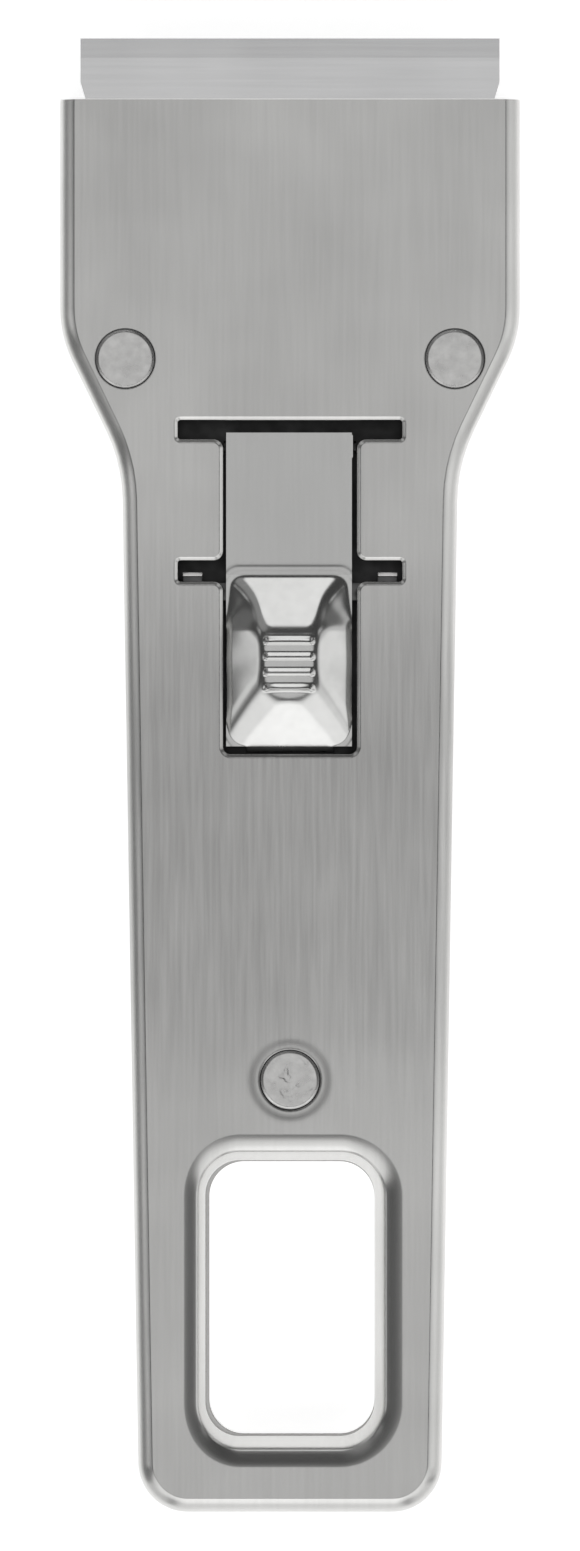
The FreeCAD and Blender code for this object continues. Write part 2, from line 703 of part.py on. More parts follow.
def make_thumb_slide():
    """Press the thumb slide: a flat strip, a hollow ridged bump and two pivot ears."""
    body = new_body("thumb_slide")
    strip = mirrored([
        (STRIP_HALF, along(STRIP_BACK), "strip_corner_radius"),
        (STRIP_HALF, along(STRIP_END)),
    ])
    pad(body, "thumb_strip", draw(body, "thumb_strip_outline", [strip], level=STRIP_UNDER), "strip_sheet")
    crown_half = "bump_top_width / 2"
    foot = (STRIP_HALF, BUMP_BACK, STRIP_END, STRIP_TOP)
    crown = (crown_half, BUMP_TOP_BACK, BUMP_TOP_END, BUMP_TOP)
    add_frustum(body, "bump", "Additive", foot, crown)

    crown_level = value(BUMP_TOP) - TOLERANCE
    round_edges(body, "bump_edges", "bump_round", lambda edge: edge.BoundBox.ZMax > crown_level)
    inner_foot = (
        f"{STRIP_HALF} - strip_sheet",
        f"{BUMP_BACK} + strip_sheet",
        f"{STRIP_END} - strip_sheet",
        STRIP_UNDER,
    )
    inner_crown = (
        f"{crown_half} - bump_wall_inset",
        f"{BUMP_TOP_BACK} + bump_wall_inset",
        f"{BUMP_TOP_END} - bump_wall_inset",
        f"{BUMP_TOP} - strip_sheet",
    )
    add_frustum(body, "bump_hollow", "Subtractive", inner_foot, inner_crown)

    first_ridge = f"({BUMP_TOP_BACK} + {BUMP_TOP_END} - ridge_pitch * (ridge_count - 1)) / 2"
    ridge_root = f"{BUMP_TOP} - ridge_height"
    ridge_top = f"{BUMP_TOP} + ridge_height"
    ridge = draw(body, "ridge_outline", [[
        (along(f"{first_ridge} + ridge_width / 2"), ridge_root),
        (along(f"{first_ridge} - ridge_width / 2"), ridge_root),
        (along(f"{first_ridge} - ridge_width / 2 + ridge_slope"), ridge_top),
        (along(f"{first_ridge} + ridge_width / 2 - ridge_slope"), ridge_top),
    ]], plane="YZ_Plane")
    first = pad(body, "ridge", ridge, "bump_top_width - 2 * ridge_inset", side="Symmetric")
    row = body.newObject("PartDesign::LinearPattern", "ridges")
    row.Originals = [first]
    row.Direction = (origin_part(body, "Y_Axis"), [""])
    row.Reversed = True
    bind(row, Length="ridge_pitch * (ridge_count - 1)", Occurrences="ridge_count")
    body.Tip = row
    doc.recompute()

    ear_front = along(f"{PIVOT_BACK} - {EAR_REACH}")
    ear_rear = along(f"{PIVOT_BACK} + {EAR_REACH}")
    ear_foot = f"{PIVOT_HEIGHT} - {EAR_REACH}"
    ear = [
        (ear_rear, ear_foot, "ear_margin"),
        (ear_front, ear_foot, "ear_margin"),
        (ear_front, STRIP_TOP),
        (ear_rear, STRIP_TOP),
    ]
    for side, level in (("left", minus(STRIP_HALF)), ("right", STRIP_EAR_INNER)):
        sketch = draw(body, f"thumb_ear_{side}_outline", [ear], plane="YZ_Plane", level=level)
        pad(body, f"thumb_ear_{side}", sketch, "strip_sheet")
    pivot_radius = "pivot_diameter / 2 + pivot_fit"
    pivot = draw_circles(body, "thumb_pivot_circle", [PIVOT_PLACE], pivot_radius, plane="YZ_Plane")
    cut_through(body, "thumb_pivot_holes", pivot)


def make_pivot_pin():
    """Cut the pin that the thumb slide rocks on."""
    body = new_body("thumb_pivot_pin")
    sketch = draw_circles(body, "pin_circle", [PIVOT_PLACE], "pivot_diameter / 2", plane="YZ_Plane")
    pad(body, "pin", sketch, f"2 * ({STRIP_HALF} + pivot_overhang)", side="Symmetric")


def make_latch_spring():
    """Form the latch spring: a riveted foot, a rising leaf and two arms with upturned teeth."""
    body = new_body("latch_spring")
    section = draw(body, "leaf_section", [joggled_section(
        LEAF_BAR_BACK, LEAF_BAR_END, LEAF_FOOT_FRONT, LEAF_END, LEAF_TOP, FOOT_TOP, "leaf_sheet",
    )], plane="YZ_Plane")
    pad(body, "leaf_plate", section, f"2 * ({TOOTH_OUTER})", side="Symmetric")
    leaf = mirrored([
        ("leaf_width / 2", along(LEAF_BAR_BACK)),
        ("leaf_width / 2", along(ARM_FRONT), "arm_root_radius"),
        (TOOTH_INNER, along(ARM_FRONT)),
        (TOOTH_INNER, along(TOOTH_FRONT)),
        (TOOTH_OUTER, along(TOOTH_FRONT)),
        (TOOTH_OUTER, along(ARM_END)),
        ("leaf_width / 2", along(ARM_END), "arm_root_radius"),
        ("leaf_width / 2", along(LEAF_END)),
    ])
    surround = box(minus(SLOT_HALF), SLOT_HALF, f"{LEAF_BAR_BACK} - arm_length", f"{LEAF_END} + arm_length")
    cut_through(body, "leaf_trim", draw(body, "leaf_outline", [surround, leaf]))
    teeth = both_sides(TOOTH_INNER, TOOTH_OUTER, TOOTH_FRONT, f"{TOOTH_FRONT} + leaf_sheet")
    sketch = draw(body, "teeth_outline", teeth, level=f"{LEAF_TOP} - leaf_sheet")
    pad(body, "teeth", sketch, f"{BODY_THICKNESS} - tooth_recess - {LEAF_TOP} + leaf_sheet")
    rivet_radius = "spring_rivet_diameter / 2 + spring_rivet_fit"
    holes = draw_circles(body, "leaf_rivet_circles", SPRING_RIVET_PLACES.values(), rivet_radius)
    cut_through(body, "leaf_rivet_holes", holes)


def make_spring_rivet(label, place):
    """Turn a small rivet, flush below the carrier's tail, with a flat head over the spring's foot."""
    body = new_body(label)
    shank = "spring_rivet_diameter / 2"
    head = "spring_rivet_head_diameter / 2"
    revolve(body, f"{label}_turned", [
        ("0", TAIL_UNDER),
        (f"{shank} + spring_rivet_head_height", TAIL_UNDER),
        (shank, f"{TAIL_UNDER} + spring_rivet_head_height"),
        (shank, FOOT_TOP),
        (head, FOOT_TOP),
        (head, f"{FOOT_TOP} + spring_rivet_head_height"),
        ("0", f"{FOOT_TOP} + spring_rivet_head_height"),
    ])
    shift(body, *place)


make_shell("front_shell", is_front=True, hole_step="0")
make_shell("rear_shell", is_front=False, hole_step="rear_rim_step")
for position, spot in RIVET_PLACES.items():
    make_rivet(f"rivet_{position}", spot)
    make_spacer(f"spacer_{position}", spot)
make_blade()
for position, spot in zip(("left", "right"), PEG_PLACES):
    make_peg(f"blade_peg_{position}", spot)
make_carrier()
make_thumb_slide()
make_pivot_pin()
make_latch_spring()
for position, spot in SPRING_RIVET_PLACES.items():
    make_spring_rivet(f"spring_rivet_{position}", spot)

doc.recompute()
for item in doc.Objects:
    if {"Invalid", "Error"} & set(item.State):
        raise RuntimeError(f"{item.Name} failed: {item.State}")
for body in parts:
    if body.Shape.isNull() or not body.Shape.isValid() or len(body.Shape.Solids) != 1:
        raise RuntimeError(f"{body.Label} is not one sound solid")
os.makedirs("parts", exist_ok=True)
for body in parts:
    body.Shape.exportStep(f"parts/{body.Label}.step")
    print(f"{body.Label}: {body.Shape.Volume:.2f} mm3, {len(body.Shape.Faces)} faces")
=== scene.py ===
"""Looks of a steel hob scraper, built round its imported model, in metres."""

import logging
import math
from collections.abc import Callable, Iterable, Sequence
from dataclasses import dataclass, field
from enum import Enum

import bmesh
import bpy
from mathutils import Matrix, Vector
from mathutils.geometry import delaunay_2d_cdt


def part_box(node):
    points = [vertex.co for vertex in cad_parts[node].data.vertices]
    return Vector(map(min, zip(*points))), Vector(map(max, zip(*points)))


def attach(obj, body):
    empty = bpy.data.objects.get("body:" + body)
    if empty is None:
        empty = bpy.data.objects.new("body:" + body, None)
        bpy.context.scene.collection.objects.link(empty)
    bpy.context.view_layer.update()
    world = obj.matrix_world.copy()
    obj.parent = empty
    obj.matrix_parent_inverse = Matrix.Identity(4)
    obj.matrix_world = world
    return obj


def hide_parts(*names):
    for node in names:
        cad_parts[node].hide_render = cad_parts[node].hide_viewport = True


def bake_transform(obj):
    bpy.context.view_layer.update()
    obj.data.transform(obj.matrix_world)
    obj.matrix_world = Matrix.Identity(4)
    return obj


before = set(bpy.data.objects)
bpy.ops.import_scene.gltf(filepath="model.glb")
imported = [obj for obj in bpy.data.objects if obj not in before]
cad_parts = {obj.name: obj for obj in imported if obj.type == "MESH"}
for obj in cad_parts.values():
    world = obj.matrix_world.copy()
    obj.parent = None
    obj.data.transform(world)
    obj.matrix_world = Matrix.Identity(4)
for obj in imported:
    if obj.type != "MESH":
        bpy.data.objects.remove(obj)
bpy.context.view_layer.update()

LOG = logging.getLogger("hob_scraper")
MM = 0.001

# How finely round edges are cut, and which edges stay sharp.
ARC_STEP = math.radians(5.0)
LEAST_ARC_STEPS = 3
RING_STEPS = 72
SHARP_ANGLE = math.radians(32.0)

# Flat sheet kept beside a bent or punched edge, and the distance within which points are one.
GUARD = 0.1 * MM
WELD = 0.001 * MM

# Options of the flat fill: keep what lies inside the loops, and merge points this near, in millimetres.
FILL_INSIDE = 1
FILL_MERGE = 1e-5

# How far the UV map leans with height, so that upright walls have some width in it.
UV_LEAN = (0.37, 0.41)

# Middle of the handle, where the colour is darkened as a painted shade for a dimmer reflection and the
# brush marks are strongest, and how faint the marks are away from there.
HANDLE_BAND_MIDDLE = -2.5 * MM
HANDLE_BAND_CORE = 14.0 * MM
HANDLE_BAND_REACH = 32.0 * MM
FAINT_STREAKS = 0.25

# Noise of the finishes: how fine it is, its mean, and the range that is spread over 0 to 1.
GRAIN_DETAIL = 3.0
STAIN_DETAIL = 2.0
NOISE_MEAN = 0.5
NOISE_RANGE = (0.3, 0.7)

WHITE = (1.0, 1.0, 1.0)
RIVETS = ("rivet_head_left", "rivet_head_right", "rivet_tail")

Pair = tuple[float, float]
Bend = list[tuple[Pair, float]]
Profile = Callable[["Station"], list[Pair]]
Socket = bpy.types.NodeSocket
Term = Socket | float | str | Vector | Sequence[float]


class Side(Enum):
    """Which half of the housing a shell is, by the name of its node."""

    FRONT = "front_shell"
    REAR = "rear_shell"


class Grain(Enum):
    """How a steel surface was worked, as the stretch of its grain along X, Y and Z."""

    BRUSHED_LENGTHWISE = (2300.0, 90.0, 900.0)
    GROUND_CROSSWISE = (60.0, 3000.0, 900.0)
    EVEN = (900.0, 900.0, 900.0)


@dataclass(frozen=True)
class Station:
    """One place on an edge path: its point, and the direction out of the sheet there."""

    point: Vector
    outward: Vector


@dataclass(frozen=True)
class Corner:
    """A corner of a path in the plane, with the radius that rounds it."""

    x: float
    y: float
    radius: float = 0.0

    @property
    def spot(self) -> Vector:
        """The corner as a vector."""
        return Vector((self.x, self.y))

    @property
    def mirrored(self) -> "Corner":
        """The same corner on the other side of the tool."""
        return Corner(-self.x, self.y, self.radius)


def right_of(direction: Vector) -> Vector:
    """Give the direction to the right of a travel direction in the plane."""
    return Vector((direction.y, -direction.x))


def turned(direction: Vector, angle: float) -> Vector:
    """Turn a direction in the plane to the left by an angle."""
    cosine, sine = math.cos(angle), math.sin(angle)
    return Vector((direction.x * cosine - direction.y * sine, direction.x * sine + direction.y * cosine))


def soft_min(first: float, second: float, blend: float) -> float:
    """Give the lower of two heights, rounded where they meet."""
    near = max(blend - abs(first - second), 0.0) / blend
    return min(first, second) - near * near * blend / 4


def smooth_step(amount: float, start: float, end: float) -> float:
    """Rise smoothly from 0 at the start to 1 at the end."""
    share = min(max((amount - start) / (end - start), 0.0), 1.0)
    return share * share * (3 - 2 * share)


def walk(corners: Sequence[Corner], closed: bool) -> list[Station]:
    """Walk round a path with rounded corners, with the open air on the right.

    Args:
        corners: the path's corners in order.
        closed: whether the path returns to its first corner.

    Returns:
        The stations of the path: the ends of its straight runs and points along its arcs.
    """
    stations: list[Station] = []
    count = len(corners)
    for i, corner in enumerate(corners):
        if not closed and i in (0, count - 1):
            near = corners[1] if i == 0 else corners[-2]
            run = near.spot - corner.spot if i == 0 else corner.spot - near.spot
            stations.append(Station(corner.spot, right_of(run.normalized())))
            continue
        into = (corner.spot - corners[i - 1].spot).normalized()
        away = (corners[(i + 1) % count].spot - corner.spot).normalized()
        turn = math.atan2(into.x * away.y - into.y * away.x, into.dot(away))
        side = math.copysign(corner.radius, turn)
        start = corner.spot - into * corner.radius * math.tan(abs(turn) / 2)
        centre = start - right_of(into) * side
        steps = max(LEAST_ARC_STEPS, math.ceil(abs(turn) / ARC_STEP))
        for step in range(steps + 1):
            outward = turned(right_of(into), turn * step / steps)
            stations.append(Station(centre + outward * side, outward))
    return stations


def ring(centre: Vector, radius: float) -> list[Station]:
    """Walk clockwise round a circular hole.

    Args:
        centre: the middle of the hole.
        radius: its radius.

    Returns:
        The stations of the hole's edge.
    """
    stations = []
    for step in range(RING_STEPS):
        arm = turned(Vector((1.0, 0.0)), -math.tau * step / RING_STEPS)
        stations.append(Station(centre.xy + arm * radius, -arm))
    return stations


def bend_down(knots: Sequence[Pair], steps: int, corner_steps: int) -> Bend:
    """Give a face that tilts more and more towards an edge, and turns upright there in a round corner.

    Args:
        knots: pairs of inset and tilt, from flat to where the corner starts.
        steps: how many steps to take between two knots.
        corner_steps: how many to take round the corner.

    Returns:
        Pairs of inset and depth along the face, each with the tilt there.
    """
    depth = 0.0
    bend = [((knots[0][0], depth), knots[0][1])]
    for (start, before), (end, after) in zip(knots, knots[1:]):
        for step in range(steps):
            tilt = before + (after - before) * (step + 0.5) / steps
            depth += (start - end) / steps * math.tan(tilt)
            share = (step + 1) / steps
            bend.append(((start + (end - start) * share, depth), before + (after - before) * share))
    reach, tilt = knots[-1]
    radius = reach / (1 - math.sin(tilt))
    for step in range(1, corner_steps + 1):
        angle = tilt + (math.pi / 2 - tilt) * step / corner_steps
        spot = (radius * (1 - math.sin(angle)), depth + radius * (math.cos(tilt) - math.cos(angle)))
        bend.append((spot, angle))
    return bend


def inside(spot: Vector, loop: Sequence[Vector]) -> bool:
    """Tell whether a point of the plane lies inside a closed loop.

    Args:
        spot: the point.
        loop: the loop's corners in order.

    Returns:
        True where a ray from the point crosses the loop an odd number of times.
    """
    odd = False
    for a, b in zip(loop, [*loop[1:], loop[0]]):
        if (a.y > spot.y) != (b.y > spot.y):
            odd ^= spot.x < a.x + (spot.y - a.y) * (b.x - a.x) / (b.y - a.y)
    return odd


def clearance(spot: Vector, stations: Sequence[Station]) -> float:
    """Measure how far a point of the plane lies from a path.

    Args:
        spot: the point.
        stations: the path.

    Returns:
        The shortest distance.
    """
    shortest = math.inf
    for first, second in zip(stations, stations[1:]):
        run = second.point - first.point
        share = min(max((spot - first.point).dot(run) / run.length_squared, 0.0), 1.0)
        shortest = min(shortest, (first.point + run * share - spot).length)
    return shortest


def opaque(colour: Iterable[float]) -> tuple[float, ...]:
    """Give a colour with full alpha."""
    return (*colour, 1.0)


def smooth(mesh: bpy.types.Mesh, sharp: float = SHARP_ANGLE) -> None:
    """Shade a mesh smooth, apart from edges that turn by more than an angle."""
    mesh.shade_smooth()
    mesh.set_sharp_from_angle(angle=sharp)


def put_in_scene(name: str, data: bpy.types.ID) -> bpy.types.Object:
    """Make an object of some data and put it in the scene.

    Args:
        name: the object's name.
        data: its mesh or camera.

    Returns:
        The new object, at the origin.
    """
    thing = bpy.data.objects.new(name, data)
    bpy.context.scene.collection.objects.link(thing)
    return thing


def finish_mesh(mesh: bpy.types.Mesh, name: str, weld: float = 0.0) -> bpy.types.Object:
    """Clean a mesh, smooth its curves, lay a UV map over it and put it in the scene.

    Args:
        mesh: the mesh to finish.
        name: the piece's name.
        weld: the distance within which points are merged.

    Returns:
        The new object, at the origin.
    """
    work = bmesh.new()
    work.from_mesh(mesh)
    if weld:
        bmesh.ops.remove_doubles(work, verts=work.verts, dist=weld)
    bmesh.ops.recalc_face_normals(work, faces=work.faces)
    layer = work.loops.layers.uv.verify()
    for face in work.faces:
        for loop in face.loops:
            spot = loop.vert.co
            loop[layer].uv = (spot.x + UV_LEAN[0] * spot.z, spot.y + UV_LEAN[1] * spot.z)
    work.to_mesh(mesh)
    work.free()
    smooth(mesh)
    return put_in_scene(name, mesh)


def copy_solid(node: str, name: str) -> bpy.types.Object:
    """Copy a CAD node's solid into a bare piece.

    Args:
        node: the node's name.
        name: the piece's name.

    Returns:
        The new object, with its points merged.
    """
    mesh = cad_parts[node].data.copy()
    mesh.materials.clear()
    return finish_mesh(mesh, name, weld=WELD)


def settle(piece: bpy.types.Object) -> None:
    """Turn a piece and its modifiers into one plain mesh.

    Args:
        piece: the piece.
    """
    view = bpy.context.evaluated_depsgraph_get()
    plain = bpy.data.meshes.new_from_object(piece.evaluated_get(view), depsgraph=view)
    piece.modifiers.clear()
    piece.data = plain


def mid(node: str) -> Vector:
    """Give the middle of a CAD node's box."""
    low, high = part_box(node)
    return (low + high) / 2


def stamp(piece: bpy.types.Object, body: str, slot: str, *nodes: str) -> None:
    """Put a finished piece on its body, in the place of its CAD nodes, and report it.

    Args:
        piece: the piece.
        body: the body that it rides on.
        slot: a material slot's name, not used.
        nodes: the nodes that it stands for.
    """
    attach(piece, body)
    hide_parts(*nodes)
    LOG.info("%s: %d points, rides on %s, stands for %s", piece.name, len(piece.data.vertices), body, nodes)


class MeshMaker:
    """Collects the points and faces of one piece."""

    def __init__(self) -> None:
        """Start with an empty piece."""
        self.points: list[Vector] = []
        self.faces: list[list[int]] = []
        self.finishes: list[int] = []

    def add(self, point: Iterable[float]) -> int:
        """Add a point and give its number."""
        self.points.append(Vector(point))
        return len(self.points) - 1

    def face(self, corners: Sequence[int], finish: int = 0) -> None:
        """Add a face with the number of its finish."""
        self.faces.append(list(corners))
        self.finishes.append(finish)

    def sweep(
        self, stations: Sequence[Station], profile: Profile, level: Callable[[float], float], closed: bool,
        inner: int = 0,
    ) -> list[list[int]]:
        """Sweep a sheet profile along a path.

        Args:
            stations: the path.
            profile: gives the pairs of inset and depth at a station.
            level: turns a depth into a height.
            closed: whether the path is a loop.
            inner: how many steps at the profile's end have the dark inner finish, a painted shade inside
                the housing, or 0 for its second half.

        Returns:
            One row of point numbers for each station.
        """
        rows = []
        for station in stations:
            row = []
            for inset, depth in profile(station):
                spot = station.point - station.outward * inset
                row.append(self.add((spot.x, spot.y, level(depth))))
            rows.append(row)
        inner = inner or len(rows[0]) // 2 - 1
        for first, second in zip(rows, rows[1:] + rows[:1] if closed else rows[1:]):
            self.strip(first[:-inner], second[:-inner])
            self.strip(first[-inner - 1:], second[-inner - 1:], finish=1)
        return rows

    def strip(
        self, first: Sequence[int], second: Sequence[int], closed: bool = False, finish: int = 0
    ) -> None:
        """Join two rows of points with four-sided faces.

        Args:
            first: the numbers of one row.
            second: those of the other.
            closed: whether the rows are loops.
            finish: the number of the faces' finish.
        """
        for i in range(len(first) if closed else len(first) - 1):
            j = (i + 1) % len(first)
            self.face((first[i], first[j], second[j], second[i]), finish)

    def fill(self, outer: Sequence[int], holes: Sequence[Sequence[int]], finish: int) -> None:
        """Fill a flat face between an outer loop and the loops of its holes.

        Args:
            outer: the numbers of the outer loop's points.
            holes: those of each hole.
            finish: the number of the faces' finish.
        """
        numbers: list[int] = []
        edges: list[tuple[int, int]] = []
        for loop in (outer, *holes):
            first = len(numbers)
            numbers.extend(loop)
            edges.extend((first + i, first + (i + 1) % len(loop)) for i in range(len(loop)))
        spots = [self.points[number].xy / MM for number in numbers]
        gaps = [[self.points[number].xy / MM for number in loop] for loop in holes]
        found, _, triangles, origins, _, _ = delaunay_2d_cdt(spots, edges, [], FILL_INSIDE, FILL_MERGE)
        for triangle in triangles:
            middle = sum((found[corner] for corner in triangle), Vector((0.0, 0.0))) / len(triangle)
            if not any(inside(middle, gap) for gap in gaps):
                self.face([numbers[origins[corner][0]] for corner in triangle], finish)

    def build(self, name: str) -> bpy.types.Object:
        """Make the piece's object, with its faces outwards, its curves smooth and a flat UV map.

        Args:
            name: the piece's name.

        Returns:
            The new object, at the origin.
        """
        mesh = bpy.data.meshes.new(name)
        mesh.from_pydata(self.points, [], self.faces)
        mesh.polygons.foreach_set("material_index", self.finishes)
        return finish_mesh(mesh, name)


class Wiring:
    """Adds nodes to a node tree and joins their sockets."""

    def __init__(self, tree: bpy.types.NodeTree) -> None:
        """Keep the tree that the nodes go into."""
        self.tree = tree

    def feed(self, socket: Socket, term: Term) -> None:
        """Link a socket to another one, or set its value.

        Args:
            socket: the socket that is fed.
            term: the other socket or the value.
        """
        if isinstance(term, Socket):
            self.tree.links.new(term, socket)
        else:
            socket.default_value = term

    def add(self, kind: str, inputs: dict[str | int, Term] | None = None, **options: str) -> bpy.types.Node:
        """Add a node.

        Args:
            kind: the type of the node.
            inputs: what feeds its sockets, by their names or numbers.
            options: its settings, which come first because they choose the sockets.

        Returns:
            The new node.
        """
        node = self.tree.nodes.new(kind)
        for name, choice in options.items():
            setattr(node, name, choice)
        for key, term in (inputs or {}).items():
            self.feed(node.inputs[key], term)
        return node

    def maths(self, kind: str, *terms: Term) -> Socket:
        """Add a maths node on these terms and give its result."""
        return self.add("ShaderNodeMath", dict(enumerate(terms)), operation=kind).outputs[0]

    def product(self, first: Term, *others: Term) -> Socket:
        """Multiply terms together and give the result."""
        for other in others:
            first = self.maths("MULTIPLY", first, other)
        return first

    def scale(self, vector: Socket, amount: Term) -> Socket:
        """Scale a vector or a colour and give the result."""
        node = self.add("ShaderNodeVectorMath", {0: vector, "Scale": amount}, operation="SCALE")
        return node.outputs["Vector"]

    def mix(self, share: Term, first: Term, second: Term, kind: str = "FLOAT") -> Socket:
        """Mix two values, or two colours of kind RGBA, and give the result."""
        node = self.add("ShaderNodeMix", {"Factor": share, "A": first, "B": second}, data_type=kind)
        return node.outputs["Result"]

    def ramp(
        self, amount: Socket, start: Term, end: Term, before: float = 0.0, after: float = 1.0
    ) -> Socket:
        """Add a smooth change between two amounts.

        Args:
            amount: what is measured.
            start: where the change starts.
            end: where it ends.
            before: the level up to the start.
            after: the level from the end on.

        Returns:
            The level.
        """
        sizes = {"Value": amount, "From Min": start, "From Max": end, "To Min": before, "To Max": after}
        return self.add("ShaderNodeMapRange", sizes, interpolation_type="SMOOTHSTEP").outputs["Result"]

    def split(self, vector: Socket) -> list[Socket]:
        """Give the X, Y and Z of a vector."""
        return list(self.add("ShaderNodeSeparateXYZ", {0: vector}).outputs)

    def position(self) -> list[Socket]:
        """Give the X, Y and Z of a geometry's points."""
        return self.split(self.add("GeometryNodeInputPosition").outputs[0])


@dataclass(frozen=True)
class SteelFinish:
    """A finish of bare steel: its colour, its gloss and the marks of its making.

    Attributes:
        name: the material's name.
        colour: how much light the metal returns.
        roughness: the width of its reflections.
        anisotropy: how much wider they are across the grain.
        grain: the direction of its marks.
        streak: how much the marks change colour and gloss.
        mottle: how much slow stains change colour and gloss.
        mottle_scale: stains per metre.
        relief: the height of the marks, in metres.
        painted_middle_shade: how much the colour is darkened at the middle of the handle, a painted shade
            for a dimmer reflection there; it also makes the brush marks fade away from there.
    """

    name: str
    colour: tuple[float, float, float]
    roughness: float
    anisotropy: float = 0.0
    grain: Grain = Grain.EVEN
    streak: float = 0.04
    mottle: float = 0.03
    mottle_scale: float = 90.0
    relief: float = 0.001 * MM
    painted_middle_shade: float = 0.0

    def material(self) -> bpy.types.Material:
        """Give the finish's material, made on first use."""
        return bpy.data.materials.get(self.name) or self._make()

    def coat(self, piece: bpy.types.Object) -> None:
        """Add the finish to a piece, under the next free number."""
        piece.data.materials.append(self.material())

    def _make(self) -> bpy.types.Material:
        """Build the material's nodes.

        Returns:
            The new material.
        """
        material = bpy.data.materials.new(self.name)
        material.use_nodes = True
        wiring = Wiring(material.node_tree)
        place = wiring.add("ShaderNodeTexCoord").outputs["Object"]
        marks = self._noise(wiring, place, self.grain.value, GRAIN_DETAIL)
        if self.painted_middle_shade:
            marks = wiring.mix(self._near_handle_middle(wiring, place, FAINT_STREAKS, 1.0), NOISE_MEAN, marks)
        stains = self._noise(wiring, place, (self.mottle_scale,) * 3, STAIN_DETAIL)
        spread = self.streak + self.mottle
        both = wiring.mix(self.mottle / spread, marks, stains)
        dark, light = (opaque(part * (1 + change) for part in self.colour) for change in (-spread, spread))
        colour = wiring.mix(both, dark, light, kind="RGBA")
        # Painted shade: the colour is darkened across the middle of the handle, standing in for a dimmer
        # reflection there.
        if self.painted_middle_shade:
            colour = wiring.scale(colour, self._near_handle_middle(wiring, place, 1.0, 1 - self.painted_middle_shade))
        gloss = wiring.add("ShaderNodeMapRange", {
            "Value": both, "To Min": self.roughness * (1 + spread), "To Max": self.roughness * (1 - spread),
        })
        bump = wiring.add("ShaderNodeBump", {"Strength": 1.0, "Distance": self.relief, "Height": both})
        shader = material.node_tree.nodes["Principled BSDF"].inputs
        wiring.feed(shader["Metallic"], 1.0)
        wiring.feed(shader["Anisotropic"], self.anisotropy)
        wiring.feed(shader["Base Color"], colour)
        wiring.feed(shader["Roughness"], gloss.outputs["Result"])
        wiring.feed(shader["Normal"], bump.outputs["Normal"])
        if self.anisotropy:
            across = wiring.add("ShaderNodeTangent", direction_type="UV_MAP")
            wiring.feed(shader["Tangent"], across.outputs["Tangent"])
        return material

    def _near_handle_middle(self, wiring: Wiring, place: Socket, far: float, near: float) -> Socket:
        """Add a level that changes towards the middle of the handle.

        Args:
            wiring: the material's wiring.
            place: the place on the piece.
            far: the level away from the grip.
            near: the level at its middle.

        Returns:
            The level.
        """
        along = wiring.maths("SUBTRACT", wiring.split(place)[1], HANDLE_BAND_MIDDLE)
        return wiring.ramp(wiring.maths("ABSOLUTE", along), HANDLE_BAND_CORE, HANDLE_BAND_REACH, near, far)

    def _noise(self, wiring: Wiring, place: Socket, scale: Sequence[float], detail: float) -> Socket:
        """Add a noise that is stretched along each axis.

        Args:
            wiring: the material's wiring.
            place: the place on the piece.
            scale: marks per metre along each axis.
            detail: how fine the marks are.

        Returns:
            The noise, from 0 to 1.
        """
        stretch = wiring.add("ShaderNodeMapping", {"Vector": place, "Scale": scale})
        noise = wiring.add("ShaderNodeTexNoise", {
            "Vector": stretch.outputs["Vector"], "Scale": 1.0, "Detail": detail,
        })
        low, high = NOISE_RANGE
        spread = wiring.add("ShaderNodeMapRange", {
            "Value": noise.outputs["Fac"], "From Min": low, "From Max": high,
        })
        return spread.outputs["Result"]


SHELL_STEEL = SteelFinish(
    "brushed_shell_steel", (0.69, 0.687, 0.675), 0.23, 0.55, Grain.BRUSHED_LENGTHWISE,
    streak=0.07, mottle=0.05, mottle_scale=70.0, relief=0.0004 * MM, painted_middle_shade=0.2,
)
STRIP_STEEL = SteelFinish(
    "thumb_strip_steel", (0.69, 0.69, 0.68), 0.24, 0.5, Grain.BRUSHED_LENGTHWISE, streak=0.01, mottle=0.02,
)
BUMP_STEEL = SteelFinish(
    "polished_bump_steel", (0.70, 0.70, 0.69), 0.17, streak=0.02, mottle=0.03, mottle_scale=140.0,
)
RIVET_STEEL = SteelFinish(
    "hammered_rivet_steel", (0.75, 0.745, 0.735), 0.26, streak=0.03, mottle=0.05, mottle_scale=900.0,
)
BLADE_STEEL = SteelFinish(
    "ground_blade_steel", (0.83, 0.83, 0.835), 0.22, 0.3, Grain.GROUND_CROSSWISE, streak=0.02, mottle=0.03,
)
# Painted shade: the spring's leaf is made dark where it lies deep in the notches, and its teeth above keep
# a lit steel colour.
LIT_TOOTH_STEEL = SteelFinish(
    "lit_tooth_steel", (0.75, 0.74, 0.73), 0.22, streak=0.05, mottle=0.05, mottle_scale=300.0,
)
SHADED_SPRING_STEEL = SteelFinish(
    "painted_shade_spring_steel", (0.16, 0.16, 0.16), 0.30, streak=0.06, mottle=0.06, mottle_scale=300.0,
)
# Painted shade: the faces and pieces inside the housing, and the countersinks, are made near black for the
# shade in there.
SHADED_INNER_STEEL = SteelFinish(
    "painted_shade_inner_steel", (0.07, 0.07, 0.07), 0.42, streak=0.08, mottle=0.10, mottle_scale=200.0,
)


